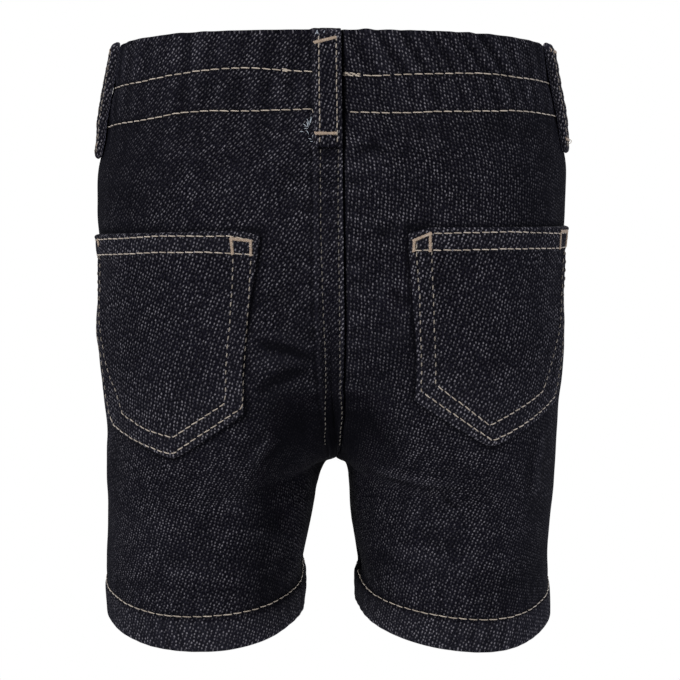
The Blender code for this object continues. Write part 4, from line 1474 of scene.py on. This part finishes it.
def bleached_cotton(name):
    """Soft unspun ends of the undyed weft, matt and half see-through for their fuzz."""
    made = bpy.data.materials.new(name)
    made.use_nodes = True
    shader = made.node_tree.nodes["Principled BSDF"]
    shader.inputs["Base Color"].default_value = linear(WEFT_END)
    shader.inputs["Roughness"].default_value = 0.9
    shader.inputs["Sheen Weight"].default_value = 0.2
    shader.inputs["Alpha"].default_value = 0.75
    return made


cotton_end = bleached_cotton("loose_weft_cotton")


def stray(start, way, normal, length, curl):
    """A thread that leaves a place one way and curls over: its middle line and its normals."""
    share = np.linspace(0.0, 1.0, STATIONS)[:, None]
    aside = np.cross(way, normal)
    turn = curl * share
    line = start + length * (share * np.cos(turn) * way + share * np.sin(turn) * aside)
    line = line + normal * (0.25 + 0.35 * np.sin(np.pi * share))
    return line, np.repeat(normal[None], STATIONS, 0)


def towards(way, normal):
    """The part of a direction that lies in the cloth."""
    flat = np.array(way) - np.dot(way, normal) * normal
    return flat / np.linalg.norm(flat)


loose = []
for aside, share, length in (
    (-4.4, 0.05, 1.3), (-3.9, 0.035, 1.1), (-3.3, 0.05, 1.3), (-1.2, 0.04, 0.9),
):
    points, _, normals = on_loop("centre", np.array([share]), np.array([aside]), 0.05)
    way = towards((rng.uniform(-0.7, 0.7), 0.0, 1.0), normals[0])
    loose.append(stray(points[0], way, normals[0], length, rng.uniform(-1.0, 1.0)))
for x, z, length, lean in (
    (-6.5, -25.8, 2.8, 0.05), (-6.7, -26.2, 2.6, -0.05), (-6.3, -26.5, 2.7, 0.1),
    (-6.2, -25.6, 2.4, 0.0), (-6.8, -27.0, 2.2, 0.15), (-6.5, -27.2, 2.3, -0.1),
    (-6.4, -25.0, 2.0, 0.05), (-7.2, -26.8, 1.8, -0.9), (-7.8, -27.6, 1.5, 1.2),
    (-6.7, -28.2, 1.6, 2.4), (-8.2, -26.6, 1.4, 1.9), (-7.5, -28.6, 1.5, -1.6),
    (-3.4, -31.5, 1.3, -1.2), (-3.7, -32.1, 1.1, 1.9), (-3.2, -31.1, 1.2, 0.2),
):
    level, distance = at_height("left", row_value("left", "widest", 0.95) + x + 2.2, np.array(z))
    points, normals = laid("left", "back", np.atleast_1d(level), np.atleast_1d(distance))
    way = towards((np.sin(lean), 0.0, np.cos(lean)), normals[0])
    loose.append(stray(points[0], way, normals[0], length, rng.uniform(-0.4, 0.4)))
sewing("loose_weft_ends", loose, 0.2, 0.0, cotton_end)

level = np.linspace(0.972, 1.008, STATIONS)
tail = laid("left", "back", level, 5.9 - 0.5 * np.linspace(0.0, 1.0, STATIONS) ** 2)
points, _, normals = on_loop("right", np.array([0.93]), np.array([-4.4]), 0.3)
ring = np.linspace(0.3, 2 * np.pi, STATIONS)[:, None]
aside = np.cross(normals[0], (0.0, 0.0, 1.0))
eye = points[0] + 0.75 * (normals[0] * (1.0 - np.cos(ring)) + np.sin(ring) * (0.0, 0.0, 1.0))
eye_thread = (eye, np.repeat(aside[None], STATIONS, 0))
sewing("loose_thread_ends", [tail, eye_thread], 0.28)

# ---------------------------------------------------------------------------------------------
# What each cloth piece was cut to, as far as it shows, by estimate: the panels from fold to fold,
# before the elastic drew them in, then the pockets and the loops, all without their turnings.

# ---------------------------------------------------------------------------------------------
# The studio: a pale floor with white all round, soft lights, and the photograph's camera.

FLOOR_Z = -0.36
FLOOR_RADIUS = 0.45
FLOOR_SIDES = 96
WHITE = "FFFFFF"
PAPER_WHITE = "F7F7F7"
DAYLIGHT = "E6ECFF"
LIGHTS_AIM = np.array((0.0, 0.0, -0.11))


def round_floor():
    """A round floor of matt white paper, small enough to leave white behind the shorts."""
    turn = np.linspace(0.0, 2 * np.pi, FLOOR_SIDES, endpoint=False)
    points = [(FLOOR_RADIUS * np.cos(t), FLOOR_RADIUS * np.sin(t), FLOOR_Z) for t in turn]
    data = bpy.data.meshes.new("round_floor")
    data.from_pydata(points, [], [tuple(range(FLOOR_SIDES))])
    piece = bpy.data.objects.new("round_floor", data)
    bpy.context.scene.collection.objects.link(piece)
    paper = bpy.data.materials.new("white_backdrop_paper")
    paper.use_nodes = True
    shader = paper.node_tree.nodes["Principled BSDF"]
    shader.inputs["Base Color"].default_value = linear(PAPER_WHITE)
    shader.inputs["Roughness"].default_value = 0.9
    piece.data.materials.append(paper)


round_floor()


def soft_light(name, place, size, watts, colour):
    """A square soft box that faces the shorts."""
    data = bpy.data.lights.new(name, "AREA")
    data.shape = "RECTANGLE"
    data.size, data.size_y = size
    data.energy = watts
    data.color = linear(colour)[:3]
    lamp = bpy.data.objects.new(name, data)
    bpy.context.scene.collection.objects.link(lamp)
    lamp.location = place
    from_aim = np.array(place) - LIGHTS_AIM
    lamp.rotation_mode = "QUATERNION"
    lamp.rotation_quaternion = Vector(from_aim).to_track_quat("Z", "Y")


soft_light("key", (-0.95, -1.3, 0.85), (0.4, 0.4), 30.0, WHITE)
soft_light("fill", (1.1, -1.2, 0.2), (0.8, 1.2), 8.0, WHITE)
soft_light("left_side", (-1.3, 0.3, 0.2), (0.6, 1.4), 5.0, DAYLIGHT)
soft_light("right_side", (1.3, 0.3, 0.2), (0.6, 1.4), 9.0, DAYLIGHT)
soft_light("front", (0.3, 1.5, 0.7), (0.8, 0.8), 16.0, WHITE)

WORLD_LIGHT = 0.48  # what the white all round gives the cloth; the camera sees it as 1
world = bpy.data.worlds.new("studio")
world.use_nodes = True
seen = add_node(world.node_tree, "LightPath")["Is Camera Ray"]
strength = add_node(world.node_tree, "MapRange", (), {0: seen, 3: WORLD_LIGHT, 4: 1.0})[0]
sky = world.node_tree.nodes["Background"]
world.node_tree.links.new(strength, sky.inputs["Strength"])
sky.inputs["Color"].default_value = linear(WHITE)
bpy.context.scene.world = world
bpy.context.scene.view_settings.view_transform = "Standard"

CAMERA_RISE = np.radians(6.5)  # how far the photograph looks down on the shorts
CAMERA_FAR = 1.3
CAMERA_AIM = np.array((0.0034, 0.0, -0.1106))
CAMERA_SENSOR = 36.0
CAMERA_LENS = 181.1
camera_data = bpy.data.cameras.new("camera")
camera_data.sensor_width = CAMERA_SENSOR
camera_data.lens = CAMERA_LENS
camera_data.clip_start = 0.01
camera = bpy.data.objects.new("camera", camera_data)
bpy.context.scene.collection.objects.link(camera)
camera.location = CAMERA_AIM + CAMERA_FAR * np.array((
    0.0, -np.cos(CAMERA_RISE), np.sin(CAMERA_RISE),
))
camera.rotation_euler = (np.pi / 2 - CAMERA_RISE, 0.0, 0.0)
bpy.context.scene.camera = camera
